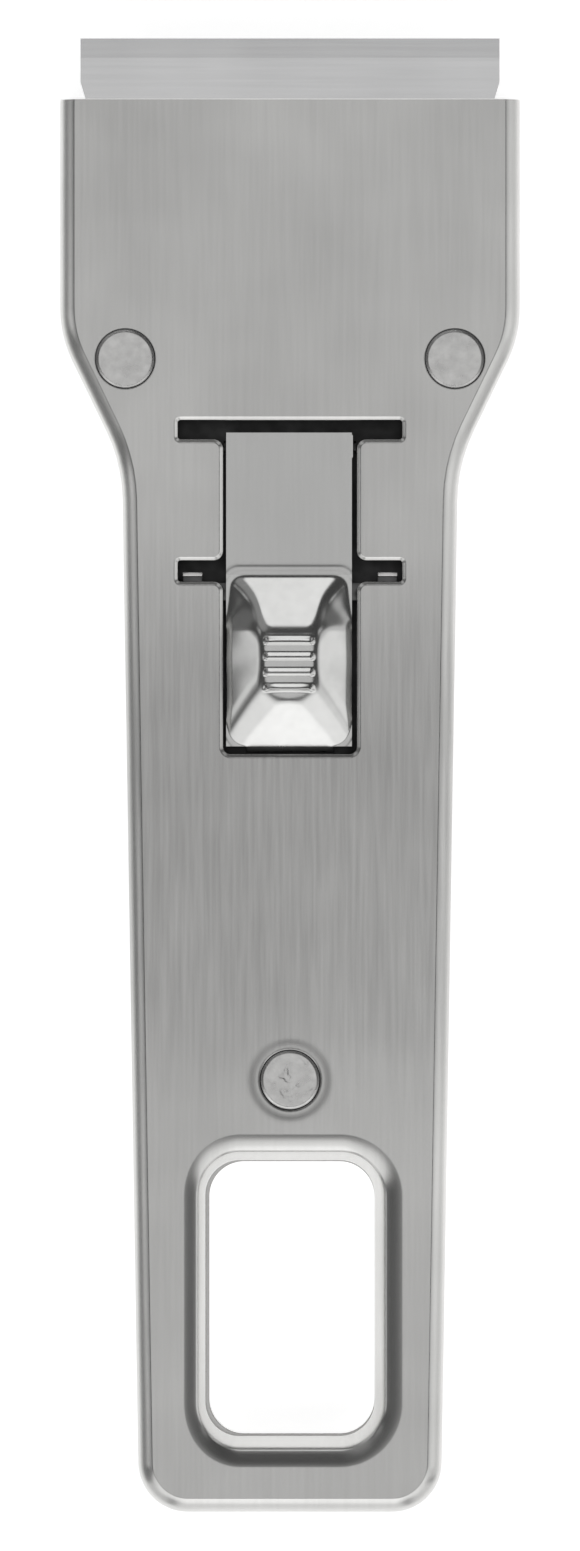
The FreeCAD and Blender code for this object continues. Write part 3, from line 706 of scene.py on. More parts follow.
@dataclass
class Shell:
    """A drawn steel shell: rolled edges, a collar round the hanging hole, punched holes.

    Lengths are in metres, and places along the shell are distances back from its mouth.
    The collar's bends are pairs of a share of its width and a tilt in degrees.
    """

    side: Side
    finish: SteelFinish = SHELL_STEEL
    painted_shade_finish: SteelFinish = SHADED_INNER_STEEL
    sheet: float = 0.8 * MM
    edge_reach: float = 1.55 * MM
    edge_lead: float = 0.12 * MM
    edge_lead_tilt: float = math.radians(24.0)
    edge_corner: float = 0.28 * MM
    edge_corner_tilt: float = math.radians(43.0)
    lip: float = 0.08 * MM
    shoulder_start: float = 24.3 * MM
    shoulder_end: float = 37.4 * MM
    handle_half_front: float = 17.25 * MM
    handle_half_end: float = 15.5 * MM
    shoulder_radius: float = 12.4 * MM
    neck_radius: float = 17.0 * MM
    end_radius: float = 5.1 * MM
    hole_half_width: float = 8.7 * MM
    hole_length: float = 28.4 * MM
    hole_end_margin: float = 7.7 * MM
    hole_corner_radius: float = 3.6 * MM
    rim_left_width: float = 2.3 * MM
    rim_right_width: float = 3.0 * MM
    rim_near_width: float = 2.9 * MM
    rim_far_width: float = 3.2 * MM
    rim_bends: tuple[Pair, ...] = ((1.0, 0.0), (0.92, 11.0), (0.42, 20.0), (0.30, 55.0), (0.04, 60.0))
    rear_rim_step: float = 0.2 * MM
    rear_rim_shift: float = 0.2 * MM
    channel_half: float = 6.87 * MM
    slot_half: float = 11.5 * MM
    slot_back: float = 32.95 * MM
    slot_end: float = 34.9 * MM
    notch_back: float = 47.35 * MM
    notch_end: float = 49.5 * MM
    bay_back: float = 67.2 * MM
    channel_corner_radius: float = 1.0 * MM
    slot_corner_radius: float = 0.3 * MM
    bay_corner_radius: float = 0.8 * MM
    die_lead: float = 0.12 * MM
    die_slope: float = math.radians(35.0)
    die_slope_width: float = 0.26 * MM
    die_arris: float = 0.05 * MM
    countersink_radius: float = 3.12 * MM
    countersink_foot: float = 2.12 * MM
    dish_width: float = 1.6 * MM
    dish_depth: float = 0.19 * MM
    dish_margin: float = 2.5 * GUARD
    dish_steps: int = 6
    low: Vector = field(init=False)
    high: Vector = field(init=False)

    def __post_init__(self) -> None:
        """Take the shell's box from the frame."""
        self.low, self.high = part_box(self.side.value)

    def level(self, depth: float) -> float:
        """Give the height of a point that lies this deep under the shell's outer face."""
        return self.high.z - depth if self.side is Side.FRONT else self.low.z + depth

    @property
    def seam(self) -> float:
        """Depth of the shell's free edge."""
        return self.high.z - self.low.z

    def place(self, back: float) -> float:
        """Give the Y of a place that lies this far back from the mouth."""
        return self.high.y - back

    def edge_path(self) -> list[Station]:
        """Walk along the rolled edge.

        Returns:
            The stations, from the left of the mouth to its right.
        """
        half = [
            Corner(self.high.x, self.place(self.lip)),
            Corner(self.high.x, self.place(self.shoulder_start), self.shoulder_radius),
            Corner(self.handle_half_front, self.place(self.shoulder_end), self.neck_radius),
            Corner(self.handle_half_end, self.low.y, self.end_radius),
        ]
        left = [corner.mirrored for corner in half]
        return walk([*left, *reversed(half)], closed=False)

    def hole_path(self) -> list[Station]:
        """Walk round the wall of the hanging hole.

        Returns:
            The stations, clockwise.
        """
        step = 0.0 if self.side is Side.FRONT else self.rear_rim_step
        shift = 0.0 if self.side is Side.FRONT else self.rear_rim_shift
        left = shift + step - self.hole_half_width
        right = shift - step + self.hole_half_width
        far = self.low.y + self.hole_end_margin + step
        near = self.low.y + self.hole_end_margin + self.hole_length - step
        spots = ((left, far), (left, near), (right, near), (right, far))
        return walk([Corner(x, y, self.hole_corner_radius) for x, y in spots], closed=True)

    def slide_path(self) -> list[Station]:
        """Walk round the opening for the thumb slide, with its slots and notches.

        Returns:
            The stations, clockwise.
        """
        half = [
            Corner(self.slot_half, self.place(self.slot_back), self.slot_corner_radius),
            Corner(self.slot_half, self.place(self.slot_end), self.slot_corner_radius),
            Corner(self.channel_half, self.place(self.slot_end), self.channel_corner_radius),
            Corner(self.channel_half, self.place(self.notch_back), self.channel_corner_radius),
            Corner(self.slot_half, self.place(self.notch_back), self.slot_corner_radius),
            Corner(self.slot_half, self.place(self.notch_end), self.slot_corner_radius),
            Corner(self.channel_half, self.place(self.notch_end), self.channel_corner_radius),
            Corner(self.channel_half, self.place(self.bay_back), self.bay_corner_radius),
        ]
        left = [corner.mirrored for corner in reversed(half)]
        return walk([*half, *left], closed=True)

    def wall_profile(self, bend: Bend) -> list[Pair]:
        """Give the section of a bent wall, from the outer face round its free edge to the inner face.

        Args:
            bend: the outer face of the bend, as pairs of inset and depth with the tilt of the face there.

        Returns:
            Pairs of inset and depth.
        """
        guard = bend[0][0][0] + GUARD
        outer = [(guard, 0.0), *(spot for spot, _ in bend), (0.0, self.seam - self.lip)]
        inner = [
            (inset + self.sheet * math.sin(tilt), depth + self.sheet * math.cos(tilt))
            for (inset, depth), tilt in bend
        ]
        inner = [(guard, self.sheet), *inner, (self.sheet, self.seam - self.lip)]
        free_edge = [(self.lip, self.seam), (self.sheet - self.lip, self.seam)]
        return [*outer, *free_edge, *reversed(inner)]

    def edge_profile(self, station: Station) -> list[Pair]:
        """Give the section of the outer edge: a bend line, then a face that rolls over to the side wall.

        Args:
            station: a place on the edge, where the section is the same all along.

        Returns:
            Pairs of inset and depth.
        """
        knots = (
            (self.edge_reach, 0.0), (self.edge_reach - self.edge_lead, self.edge_lead_tilt),
            (self.edge_corner, self.edge_corner_tilt),
        )
        return self.wall_profile(bend_down(knots, steps=4, corner_steps=6))

    def rim_profile(self, station: Station) -> list[Pair]:
        """Give the section of the hanging hole's collar, whose width differs round the hole.

        Args:
            station: the place on the hole's wall.

        Returns:
            Pairs of inset and depth.
        """
        side = self.rim_left_width if station.outward.x > 0 else self.rim_right_width
        end = self.rim_far_width if station.outward.y > 0 else self.rim_near_width
        width = math.hypot(side * station.outward.x, end * station.outward.y)
        knots = [(width * share, math.radians(tilt)) for share, tilt in self.rim_bends]
        return self.wall_profile(bend_down(knots, steps=4, corner_steps=4))

    def punched_profile(self, station: Station) -> list[Pair]:
        """Give the section of a punched edge, drawn down to a slope at its face.

        Args:
            station: a place on the edge, where the section is the same all along.

        Returns:
            Pairs of inset and depth.
        """
        slope = self.die_arris + self.die_slope_width
        knots = ((slope + self.die_lead, 0.0), (slope, self.die_slope), (self.die_arris, self.die_slope))
        bend = [spot for spot, _ in bend_down(knots, steps=3, corner_steps=4)]
        return [(bend[0][0] + GUARD, 0.0), *bend, (0.0, self.sheet), (GUARD, self.sheet)]

    def rivet_profile(self, centre: Vector) -> Profile:
        """Choose the section of a countersunk rivet hole in a dish that keeps clear of the rolled edge.

        Args:
            centre: the middle of the hole.

        Returns:
            The section, which is the same all round the hole.
        """
        flat = clearance(centre.xy, self.edge_path()) - self.edge_reach
        width = min(self.dish_width, flat - self.countersink_radius - self.dish_margin)
        depth = self.dish_depth * width / self.dish_width
        dish = []
        for step in range(self.dish_steps + 1):
            share = step / self.dish_steps
            dish.append((width * (1 - share), depth * smooth_step(share, 0.0, 1.0)))
        foot = self.countersink_foot - self.countersink_radius
        section = [(width + GUARD, 0.0), *dish, (foot, self.sheet), (foot + GUARD, self.sheet)]
        return lambda station: section

    def build(self) -> bpy.types.Object:
        """Build the shell's mesh.

        Returns:
            The shell, a closed sheet of even gauge.
        """
        maker = MeshMaker()
        edge = maker.sweep(self.edge_path(), self.edge_profile, self.level, closed=False)
        loops = [maker.sweep(self.hole_path(), self.rim_profile, self.level, closed=True)]
        for node in RIVETS:
            path = ring(mid(node), self.countersink_radius)
            loops.append(maker.sweep(path, self.rivet_profile(mid(node)), self.level, closed=True, inner=2))
        if self.side is Side.FRONT:
            path = self.slide_path()
            loops.append(maker.sweep(path, self.punched_profile, self.level, closed=True, inner=1))
        # The inner face gets the second finish, the painted shade inside the housing.
        for finish, column in enumerate((0, -1)):
            holes = [[row[column] for row in loop] for loop in loops]
            maker.fill([row[column] for row in edge], holes, finish)
        self.close_mouth(maker, edge[0], edge[-1])
        return maker.build(self.side.value + "_sheet")

    def close_mouth(self, maker: MeshMaker, left: list[int], right: list[int]) -> None:
        """Close the cut edge of the sheet at the mouth, with its arrises broken.

        Args:
            maker: holds the shell's points and faces.
            left: the row of the rolled edge at the left of the mouth.
            right: the row at its right.
        """
        section = [*left, *reversed(right)]
        count = len(left)
        cut = []
        for row in (left, right[::-1]):
            for number, partner in zip(row, reversed(row)):
                point = maker.points[number]
                towards = (maker.points[partner] - point).normalized() * self.lip
                cut.append(maker.add((point.x + towards.x, self.high.y, point.z + towards.z)))
        maker.strip(section, cut, closed=True)
        for row in (cut[:count], cut[count:]):
            for i in range(count // 2 - 1):
                maker.face((row[i], row[i + 1], row[-2 - i], row[-1 - i]))
        maker.face((cut[0], cut[count - 1], cut[count], cut[-1]))

    def dress(self) -> None:
        """Build the shell, give it its finishes and put it in its node's place."""
        piece = self.build()
        for finish in (self.finish, self.painted_shade_finish):
            finish.coat(piece)
        stamp(piece, "housing", "shell_steel", self.side.value)


@dataclass
class RivetSet:
    """The three flush rivets that hold the shells together.

    Lengths are in metres. A rim or cap share is a share of the head's radius, and a pit is
    where the noise lies above its low level.
    """

    finish: SteelFinish = RIVET_STEEL
    nodes: tuple[str, ...] = RIVETS
    head_radius: float = 3.0 * MM
    shank_radius: float = 2.0 * MM
    head_depth: float = 0.76 * MM
    rim_drop: float = 0.08 * MM
    rim_share: float = 0.9
    cap_share: float = 0.8
    cap_end_share: float = 0.97
    pit_depth: float = 0.045 * MM
    pit_scale: float = 1100.0
    pit_detail: float = 2.0
    pit_low: float = 0.5
    pit_high: float = 0.72
    beaten_from: float = -10.0 * MM
    smooth_share: float = 0.15
    sides: int = 96
    wall_rings: int = 9
    cap_rings: int = 32
    cap_mark: str = "cap"

    def sizes(self) -> dict[str, float]:
        """Give the sizes that the node tree takes, by the names of its inputs."""
        low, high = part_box(self.nodes[0])
        return {
            "Head Radius": self.head_radius, "Shank Radius": self.shank_radius,
            "Head Depth": self.head_depth, "Length": high.z - low.z,
            "Rim Drop": self.rim_drop, "Pit Depth": self.pit_depth,
        }

    def tree(self) -> bpy.types.NodeTree:
        """Build the node tree that turns points into rivets.

        Returns:
            The tree, with named inputs for the rivet's sizes.
        """
        tree = bpy.data.node_groups.new("flush_rivets", "GeometryNodeTree")
        kinds = {"Places": "Geometry", **dict.fromkeys(self.sizes(), "Float"), "Finish": "Material"}
        for name, kind in kinds.items():
            tree.interface.new_socket(name, in_out="INPUT", socket_type="NodeSocket" + kind)
        tree.interface.new_socket("Rivets", in_out="OUTPUT", socket_type="NodeSocketGeometry")
        wiring = Wiring(tree)
        entry = wiring.add("NodeGroupInput")
        copies = wiring.add("GeometryNodeInstanceOnPoints", {
            "Points": entry.outputs["Places"], "Instance": self.stud(wiring, entry),
        })
        real = wiring.add("GeometryNodeRealizeInstances", {0: copies.outputs[0]})
        pitted = wiring.add("GeometryNodeSetPosition", {
            "Geometry": real.outputs[0], "Offset": self.pits(wiring, entry),
        })
        paint = wiring.add("GeometryNodeSetMaterial", {
            "Geometry": pitted.outputs[0], "Material": entry.outputs["Finish"],
        })
        wiring.add("NodeGroupOutput", {"Rivets": paint.outputs[0]})
        return tree

    def stud(self, wiring: Wiring, entry: bpy.types.Node) -> Socket:
        """Add one rivet: a cylinder drawn in to a shank between two heads with dropped rims.

        Args:
            wiring: the tree's wiring.
            entry: the tree's inputs.

        Returns:
            The rivet, with the caps of its heads marked.
        """
        sizes = entry.outputs
        stock = wiring.add("GeometryNodeMeshCylinder", {
            "Vertices": self.sides, "Side Segments": self.wall_rings, "Fill Segments": self.cap_rings,
            "Radius": sizes["Head Radius"], "Depth": sizes["Length"],
        })
        x, y, z = wiring.position()
        half = wiring.maths("MULTIPLY", sizes["Length"], 0.5)
        height = wiring.maths("ABSOLUTE", z)
        squares = [wiring.maths("POWER", side, 2.0) for side in (x, y)]
        reach = wiring.maths("SQRT", wiring.maths("ADD", *squares))
        share = wiring.maths("DIVIDE", reach, sizes["Head Radius"])
        flare = wiring.ramp(height, wiring.maths("SUBTRACT", half, sizes["Head Depth"]), half)
        waist = wiring.maths("DIVIDE", sizes["Shank Radius"], sizes["Head Radius"])
        girth = wiring.mix(flare, waist, 1.0)
        drop = wiring.product(wiring.ramp(share, self.rim_share, 1.0), sizes["Rim Drop"], flare)
        shape = wiring.add("ShaderNodeCombineXYZ", {
            "X": wiring.maths("MULTIPLY", x, girth), "Y": wiring.maths("MULTIPLY", y, girth),
            "Z": wiring.maths("SUBTRACT", z, wiring.maths("MULTIPLY", drop, wiring.maths("SIGN", z))),
        })
        turned_stud = wiring.add("GeometryNodeSetPosition", {
            "Geometry": stock.outputs["Mesh"], "Position": shape.outputs[0],
        })
        crown = wiring.ramp(height, wiring.maths("SUBTRACT", half, sizes["Rim Drop"]), half)
        middle = wiring.ramp(share, self.cap_end_share, self.cap_share)
        mark = wiring.add("GeometryNodeStoreNamedAttribute", {
            "Geometry": turned_stud.outputs[0], "Name": self.cap_mark,
            "Value": wiring.maths("MULTIPLY", crown, middle),
        })
        return mark.outputs[0]

    def pits(self, wiring: Wiring, entry: bpy.types.Node) -> Socket:
        """Add the pits that the hammer left in the caps, deepest in the tail rivet.

        Args:
            wiring: the tree's wiring.
            entry: the tree's inputs.

        Returns:
            How far each point moves.
        """
        noise = wiring.add("ShaderNodeTexNoise", {"Scale": self.pit_scale, "Detail": self.pit_detail})
        cap = wiring.add("GeometryNodeInputNamedAttribute", {"Name": self.cap_mark})
        pit = wiring.ramp(noise.outputs[0], self.pit_low, self.pit_high)
        tail = wiring.ramp(wiring.position()[1], 0.0, self.beaten_from)
        beaten = wiring.maths("MAXIMUM", tail, self.smooth_share)
        depth = wiring.product(pit, beaten, entry.outputs["Pit Depth"], cap.outputs["Attribute"], -1.0)
        return wiring.scale(wiring.add("GeometryNodeInputNormal").outputs[0], depth)

    def dress(self) -> None:
        """Make the rivets at their nodes' places."""
        places = bpy.data.meshes.new("rivet_places")
        places.from_pydata([mid(node) for node in self.nodes], [], [])
        piece = put_in_scene("shell_rivets", places)
        modifier = piece.modifiers.new("rivets", "NODES")
        modifier.node_group = self.tree()
        values = {**self.sizes(), "Finish": self.finish.material()}
        for socket in modifier.node_group.interface.items_tree:
            if socket.in_out == "INPUT" and socket.name in values:
                modifier[socket.identifier] = values[socket.name]
        settle(piece)
        smooth(piece.data)
        stamp(piece, "housing", "rivet_steel", *self.nodes)


@dataclass
class ThumbSlide:
    """The pressed thumb slide: a flat strip with a polished, ridged bump."""

    finish: SteelFinish = BUMP_STEEL
    strip_finish: SteelFinish = STRIP_STEEL
    node: str = "thumb_slide"
    gauge: float = 0.6 * MM
    sideways: float = -0.1 * MM
    strip_top: float = 6.0 * MM
    bump_height: float = 2.4 * MM
    front_run: float = 5.8 * MM
    top_length: float = 6.95 * MM
    rear_run: float = 4.75 * MM
    top_half: float = 2.75 * MM
    flank_bulge: float = 0.09 * MM
    flank_ease: float = 0.8
    flank_ease_place: float = 0.6
    flank_ease_reach: float = 1.8 * MM
    flank_hollow: float = 0.7
    front_hip_foot: float = 1.4 * MM
    front_hip_crown: float = 0.7 * MM
    rear_hip: float = 1.7 * MM
    crown_blend: float = 0.35 * MM
    foot_blend: float = 0.12 * MM
    edge_blend: float = 0.01 * MM
    polish_reach: float = 0.1 * MM
    swell_height: float = 0.06 * MM
    swell_fall: float = 0.33 * MM
    swell_width: float = 0.13 * MM
    ridge_count: int = 4
    ridge_pitch: float = 1.6 * MM
    ridge_front: float = 0.8 * MM
    ridge_rear: float = 0.3 * MM
    ridge_height: float = 0.24 * MM
    ridge_half: float = 2.75 * MM
    ridge_end: float = 0.6 * MM
    columns: int = 120
    fine_rows: int = 220
    fine_margin: float = 3.0 * MM
    coarse_rows: int = 12
    low: Vector = field(init=False)
    high: Vector = field(init=False)

    def __post_init__(self) -> None:
        """Take the strip's box from the frame."""
        self.low, self.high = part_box(self.node)

    @property
    def top_end(self) -> float:
        """Where the bump's flat top ends towards the rear."""
        return self.low.y + self.rear_run

    @property
    def foot(self) -> float:
        """Where the bump's front rises from the strip."""
        return self.top_end + self.top_length + self.front_run

    def rise(self, x: float, y: float) -> float:
        """Give the height of the pressed form above the flat strip.

        Args:
            x: place across the strip.
            y: place along it.

        Returns:
            The rise, in metres.
        """
        front = (self.foot - y) * self.bump_height / self.front_run
        rear = (y - self.low.y) * self.bump_height / self.rear_run
        side = self.flank(x, y)
        climb = min(max(min(front, side) / self.bump_height, 0.0), 1.0)
        hip = self.front_hip_foot + (self.front_hip_crown - self.front_hip_foot) * climb
        height = soft_min(soft_min(front, side, hip), rear, self.rear_hip)
        swell = self.swell_height * math.exp(-((height + self.swell_fall) / self.swell_width) ** 2)
        height = soft_min(height, self.bump_height, self.crown_blend)
        behind = smooth_step(front, 0.0, self.bump_height)
        height = -soft_min(-height, 0.0, self.foot_blend + (self.edge_blend - self.foot_blend) * behind)
        return height + swell + self.ridges(x, y)

    def flank(self, x: float, y: float) -> float:
        """Give the height of the side faces: bulging, flatter by the first ridges and hollow in front.

        Args:
            x: place across the strip.
            y: place along it.

        Returns:
            The height above the flat strip.
        """
        share = (self.high.x - abs(x)) / (self.high.x - self.top_half)
        beside = (y - self.top_end - self.top_length * self.flank_ease_place) / self.flank_ease_reach
        bulge = self.flank_bulge * (1 - self.flank_ease * math.exp(-beside * beside))
        ahead = min(max((y - self.top_end - self.top_length) / self.front_run, 0.0), 1.0)
        hollowed = share ** (1 + self.flank_hollow * math.sin(math.pi * ahead) ** 2)
        return self.bump_height * hollowed + 4 * bulge * share * (1 - share)

    def ridges(self, x: float, y: float) -> float:
        """Give the height of the grip ridges above the bump's flat top.

        Args:
            x: place across the strip.
            y: place along it.

        Returns:
            The height, which is 0 between the ridges and past their ends.
        """
        ends = smooth_step(abs(x), self.ridge_half, self.ridge_half - self.ridge_end)
        middle = self.top_end + self.top_length / 2
        height = 0.0
        for number in range(self.ridge_count):
            ahead = y - middle - self.ridge_pitch * (number - (self.ridge_count - 1) / 2)
            run = self.ridge_front if ahead > 0 else self.ridge_rear
            height += self.ridge_height * ends * (1 - smooth_step(abs(ahead), 0.0, run))
        return height

    def rows(self) -> list[float]:
        """Choose the places along the strip where its section is taken.

        Returns:
            Their Y, close together on the bump and wide apart past it.
        """
        start = self.foot + self.fine_margin
        lower = [self.low.y + (start - self.low.y) * i / self.fine_rows for i in range(self.fine_rows)]
        upper = [start + (self.high.y - start) * i / self.coarse_rows for i in range(self.coarse_rows + 1)]
        return [*lower, *upper]

    def build(self) -> bpy.types.Object:
        """Build the strip as a closed sheet.

        Returns:
            The strip with its bump.
        """
        maker = MeshMaker()
        layers = []
        for drop in (0.0, self.gauge):
            grid = []
            for y in self.rows():
                spots = [self.high.x * (2 * i / self.columns - 1) for i in range(self.columns + 1)]
                grid.append([
                    maker.add((x + self.sideways, y, self.strip_top + self.rise(x, y) - drop))
                    for x in spots
                ])
            for first, second in zip(grid, grid[1:]):
                flat = maker.points[first[0]].y > self.foot + self.polish_reach
                maker.strip(first, second, finish=int(flat))
            layers.append(grid)
        top, under = layers
        for line in (0, -1):
            maker.strip(top[line], under[line])
            maker.strip([row[line] for row in top], [row[line] for row in under])
        self.add_ears(maker)
        return maker.build("thumb_slide_pressing")

    def add_ears(self, maker: MeshMaker) -> None:
        """Add the pivot ears of the node's solid, with their roots sunk in the strip.

        Args:
            maker: holds the strip's points and faces.
        """
        root = self.strip_top - self.gauge
        work = bmesh.new()
        work.from_mesh(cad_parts[self.node].data)
        bmesh.ops.remove_doubles(work, verts=work.verts, dist=WELD)
        cut = bmesh.ops.bisect_plane(
            work, geom=[*work.verts, *work.edges, *work.faces], plane_co=(0.0, 0.0, root - 2 * WELD),
            plane_no=(0.0, 0.0, 1.0), clear_outer=True,
        )["geom_cut"]
        bmesh.ops.edgenet_fill(work, edges=[item for item in cut if isinstance(item, bmesh.types.BMEdge)])
        for corner in cut:
            if isinstance(corner, bmesh.types.BMVert):
                corner.co.z = root + self.gauge / 2
        work.verts.index_update()
        first = len(maker.points)
        for vert in work.verts:
            maker.add(vert.co)
        for face in work.faces:
            maker.face([first + vert.index for vert in face.verts])
        work.free()

    def dress(self) -> None:
        """Build the slide, give it its finishes and put it in its node's place."""
        piece = self.build()
        for finish in (self.finish, self.strip_finish):
            finish.coat(piece)
        stamp(piece, "thumb", "thumb_steel", self.node)


@dataclass
class LatchSpring:
    """The leaf that holds the slide, with two upturned teeth."""

    finish: SteelFinish = SHADED_SPRING_STEEL
    tooth_finish: SteelFinish = LIT_TOOTH_STEEL
    tooth_foot: float = 6.4 * MM
    node: str = "latch_spring"
    flat_angle: float = math.radians(2.0)
    arris_angle: float = math.radians(40.0)
    arris: float = 0.07 * MM
    arris_steps: int = 2
    arris_fullness: float = 0.6
    cuts: int = 14
    clamped: float = 2.0 * MM
    held_tip: float = 4.0 * MM

    def build(self) -> bpy.types.Object:
        """Copy the node's solid with its arrises broken and rows across the leaf.

        Returns:
            The leaf.
        """
        piece = copy_solid(self.node, "latch_spring_leaf")
        work = bmesh.new()
        work.from_mesh(piece.data)
        bmesh.ops.dissolve_limit(
            work, angle_limit=self.flat_angle, verts=work.verts, edges=work.edges, delimit=set(),
        )
        joins = [edge for edge in work.edges if len(edge.link_faces) == 2]
        bmesh.ops.bevel(
            work, geom=[edge for edge in joins if edge.calc_face_angle() > self.arris_angle],
            offset=self.arris, segments=self.arris_steps, profile=self.arris_fullness,
            affect="EDGES", clamp_overlap=True,
        )
        low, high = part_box(self.node)
        for i in range(1, self.cuts):
            cut = Vector((0.0, low.y + (high.y - low.y) * i / self.cuts, 0.0))
            geometry = [*work.verts, *work.edges, *work.faces]
            bmesh.ops.bisect_plane(work, geom=geometry, plane_co=cut, plane_no=(0.0, 1.0, 0.0))
        # Painted shade: faces below the tooth foot get the dark finish, and those above it get the lit one.
        for face in work.faces:
            face.material_index = int(face.calc_center_median().z > self.tooth_foot)
        work.to_mesh(piece.data)
        work.free()
        smooth(piece.data)
        return piece

    def dress(self) -> None:
        """Build the leaf, give it its finishes and hide its node."""
        piece = self.build()
        for finish in (self.finish, self.tooth_finish):
            finish.coat(piece)
        low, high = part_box(self.node)
        start = (0.0, mid("spring_rivet_left").y + self.clamped, low.z)
        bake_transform(piece)
        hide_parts(self.node)
        LOG.info("%s: %d points, bends from slide to thumb", piece.name, len(piece.data.vertices))


@dataclass
class Blade:
    """The ground blade, with its edge stropped to a longer, flatter bevel."""

    finish: SteelFinish = BLADE_STEEL
    node: str = "blade"
    bevel: float = 0.7 * MM
    strop: float = 1.3 * MM
    crease: float = math.radians(2.0)
    shoulder_reach: float = 5 * WELD

    def dress(self) -> None:
        """Copy the node's solid, draw its bevels back and put it in the node's place."""
        piece = copy_solid(self.node, "blade_ground")
        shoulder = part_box(self.node)[1].y - self.bevel
        for corner in piece.data.vertices:
            if abs(corner.co.y - shoulder) < self.shoulder_reach:
                corner.co.y -= self.strop
        smooth(piece.data, self.crease)
        self.finish.coat(piece)
        stamp(piece, "slide", "blade_steel", self.node)


@dataclass
class InnerWorks:
    """The pieces that keep the form of their solids: carrier, pegs, pins and sleeves."""

    # Painted shade: these pieces get the near-black inner finish for the shade inside the housing.
    finish: SteelFinish = SHADED_INNER_STEEL
    nodes: tuple[str, ...] = (
        "blade_carrier", "blade_peg_left", "blade_peg_right", "thumb_pivot_pin", "spring_rivet_left",
        "spring_rivet_right", "spacer_head_left", "spacer_head_right", "spacer_tail",
    )

    def dress(self) -> None:
        """Give each node the finish."""
        for node in self.nodes:
            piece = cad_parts[node]
            piece.data.materials.clear()
            self.finish.coat(piece)
            LOG.info("%s: keeps its solid, finish %s", node, self.finish.name)


@dataclass(frozen=True)
class Softbox:
    """A round patch of light in the room.

    Attributes:
        bearing: degrees round from +Y towards +X.
        height: degrees above the horizon.
        inner: degrees from its middle to where it starts to fade.
        outer: degrees from its middle to where it ends.
        level: its brightness.
    """

    bearing: float
    height: float
    inner: float
    outer: float
    level: float

    @property
    def towards(self) -> Vector:
        """The direction to its middle.

        Returns:
            The direction, one unit long.
        """
        bearing, height = math.radians(self.bearing), math.radians(self.height)
        level = math.cos(height)
        return Vector((level * math.sin(bearing), level * math.cos(bearing), math.sin(height)))


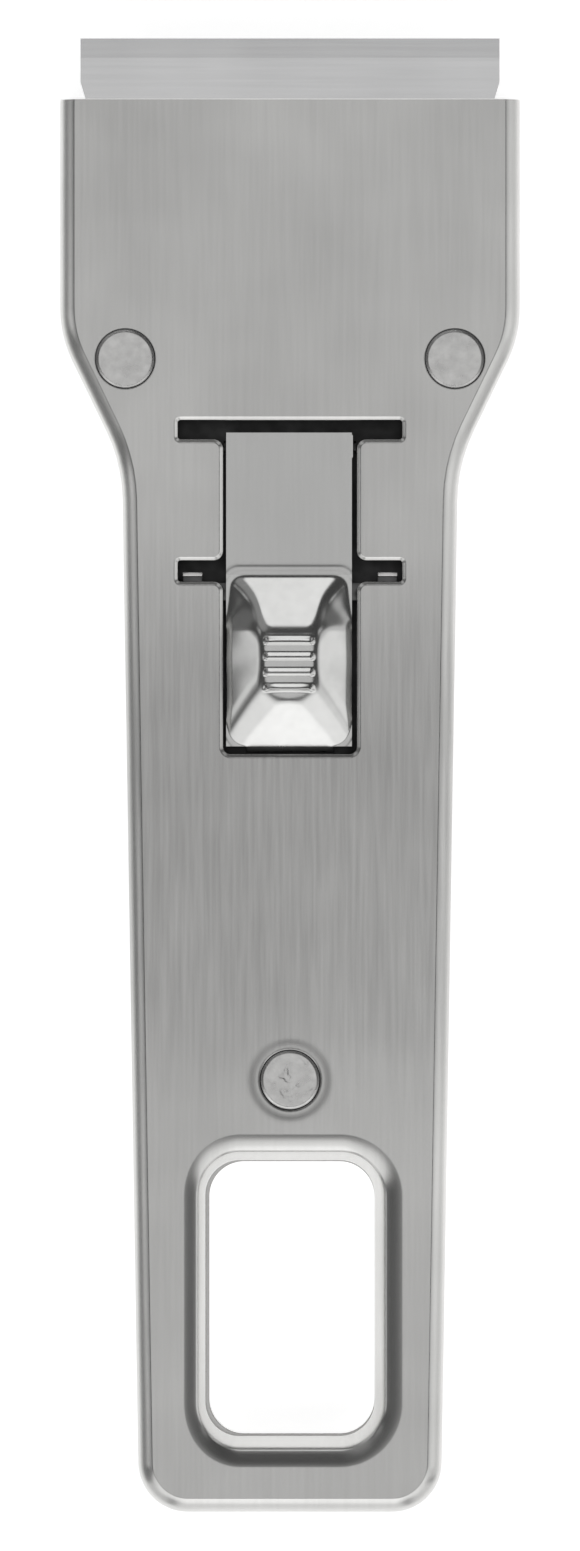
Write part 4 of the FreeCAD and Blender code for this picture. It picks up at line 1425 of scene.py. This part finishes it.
@dataclass
class Studio:
    """A white floor in a soft room, and the camera straight above the tool."""

    frame_height: float = 0.15898
    view_middle: float = 3.11 * MM
    camera_height: float = 0.9
    sensor: float = 36.0
    floor_half: float = 4.0
    floor_drop: float = 0.01 * MM
    floor_glow: float = 0.75
    floor_colour: float = 0.8
    ambience: float = 0.06
    boxes: tuple[Softbox, ...] = (
        # The white wall at the horizon, and a dimmer one above it.
        Softbox(0.0, -90.0, 96.0, 98.0, 1.0),
        Softbox(0.0, -90.0, 116.0, 128.0, 0.15),
        # Overhead, where the flat faces look.
        Softbox(180.0, 88.0, 17.0, 21.5, 0.64),
        # Past the blade.
        Softbox(0.0, 42.0, 7.0, 11.0, 1.12),
        # Past the tail.
        Softbox(180.0, 36.0, 12.0, 22.0, 1.29),
        Softbox(180.0, 46.0, 12.0, 17.0, 0.95),
        Softbox(180.0, 12.0, 12.0, 20.0, 0.90),
        # On the right.
        Softbox(94.0, 27.0, 8.0, 12.0, 0.95),
        Softbox(94.0, 24.0, 18.0, 25.0, 0.65),
        Softbox(66.0, 45.0, 3.0, 7.0, 0.55),
        Softbox(114.0, 38.0, 6.0, 14.0, 0.85),
        # On the left.
        Softbox(-92.0, 29.0, 5.0, 10.0, 0.85),
        Softbox(-92.0, 34.0, 8.0, 14.0, 0.30),
        Softbox(-62.0, 48.0, 3.0, 7.0, 0.5),
        Softbox(-30.0, 50.0, 8.0, 16.0, 0.3),
        # Past the corners of the head.
        Softbox(40.0, 24.0, 10.0, 18.0, 0.5),
        Softbox(-40.0, 24.0, 10.0, 18.0, 0.5),
        # Past the corners of the tail.
        Softbox(140.0, 42.0, 14.0, 26.0, 1.05),
        Softbox(-140.0, 42.0, 14.0, 26.0, 1.0),
        Softbox(138.0, 14.0, 14.0, 22.0, 0.75),
        Softbox(-138.0, 14.0, 14.0, 22.0, 0.65),
    )

    def dress(self) -> None:
        """Make the floor, the room and the camera, and set the view's colours."""
        self.make_floor()
        self.make_room()
        self.make_camera()
        bpy.context.scene.view_settings.view_transform = "Standard"

    def make_floor(self) -> None:
        """Lay a white floor that keeps the tool's shadow."""
        half = self.floor_half
        corners = [(-half, -half, 0.0), (half, -half, 0.0), (half, half, 0.0), (-half, half, 0.0)]
        mesh = bpy.data.meshes.new("floor")
        mesh.from_pydata(corners, [], [range(len(corners))])
        floor = put_in_scene("floor", mesh)
        floor.location.z = -self.floor_drop
        material = bpy.data.materials.new("white_floor")
        material.use_nodes = True
        material.node_tree.nodes.clear()
        wiring = Wiring(material.node_tree)
        matt = wiring.add("ShaderNodeBsdfDiffuse", {"Color": opaque((self.floor_colour,) * 3)})
        rays = wiring.add("ShaderNodeLightPath").outputs
        seen = wiring.maths("MAXIMUM", rays["Is Camera Ray"], rays["Is Glossy Ray"])
        seen = wiring.maths("MAXIMUM", seen, rays["Is Transmission Ray"])
        glow = wiring.add("ShaderNodeEmission", {"Strength": wiring.product(seen, self.floor_glow)})
        both = wiring.add("ShaderNodeAddShader", {0: matt.outputs[0], 1: glow.outputs[0]})
        wiring.add("ShaderNodeOutputMaterial", {"Surface": both.outputs[0]})
        mesh.materials.append(material)

    def make_room(self) -> None:
        """Light the tool from a grey room with a white wall all round and soft patches of light."""
        world = bpy.data.worlds.new("studio_room")
        bpy.context.scene.world = world
        world.use_nodes = True
        world.node_tree.nodes.clear()
        wiring = Wiring(world.node_tree)
        sight = wiring.add("ShaderNodeTexCoord").outputs["Generated"]
        aim = wiring.add("ShaderNodeVectorMath", {0: sight}, operation="NORMALIZE").outputs[0]
        light: Term = self.ambience
        for box in self.boxes:
            dot = wiring.add("ShaderNodeVectorMath", {0: aim, 1: box.towards}, operation="DOT_PRODUCT")
            edge, core = (math.cos(math.radians(angle)) for angle in (box.outer, box.inner))
            patch = wiring.ramp(dot.outputs["Value"], edge, core, after=box.level)
            light = wiring.maths("MAXIMUM", light, patch)
        room = wiring.add("ShaderNodeBackground", {"Color": opaque(WHITE), "Strength": light})
        wiring.add("ShaderNodeOutputWorld", {"Surface": room.outputs[0]})

    def make_camera(self) -> None:
        """Hang the camera above the tool, blade up in the picture."""
        camera = bpy.data.cameras.new("camera")
        camera.sensor_width = self.sensor
        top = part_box("front_shell")[1].z
        camera.lens = self.sensor * (self.camera_height - top) / self.frame_height
        hung = put_in_scene("camera", camera)
        hung.location = (0.0, self.view_middle, self.camera_height)
        bpy.context.scene.camera = hung


def main() -> None:
    """Build and dress the sub-assemblies in order."""
    logging.basicConfig(level=logging.INFO, format="%(name)s: %(message)s")
    for assembly in (
        Shell(Side.FRONT), Shell(Side.REAR), RivetSet(), Blade(), ThumbSlide(), LatchSpring(),
        InnerWorks(), Studio(),
    ):
        assembly.dress()


if __name__ == "__main__":
    main()
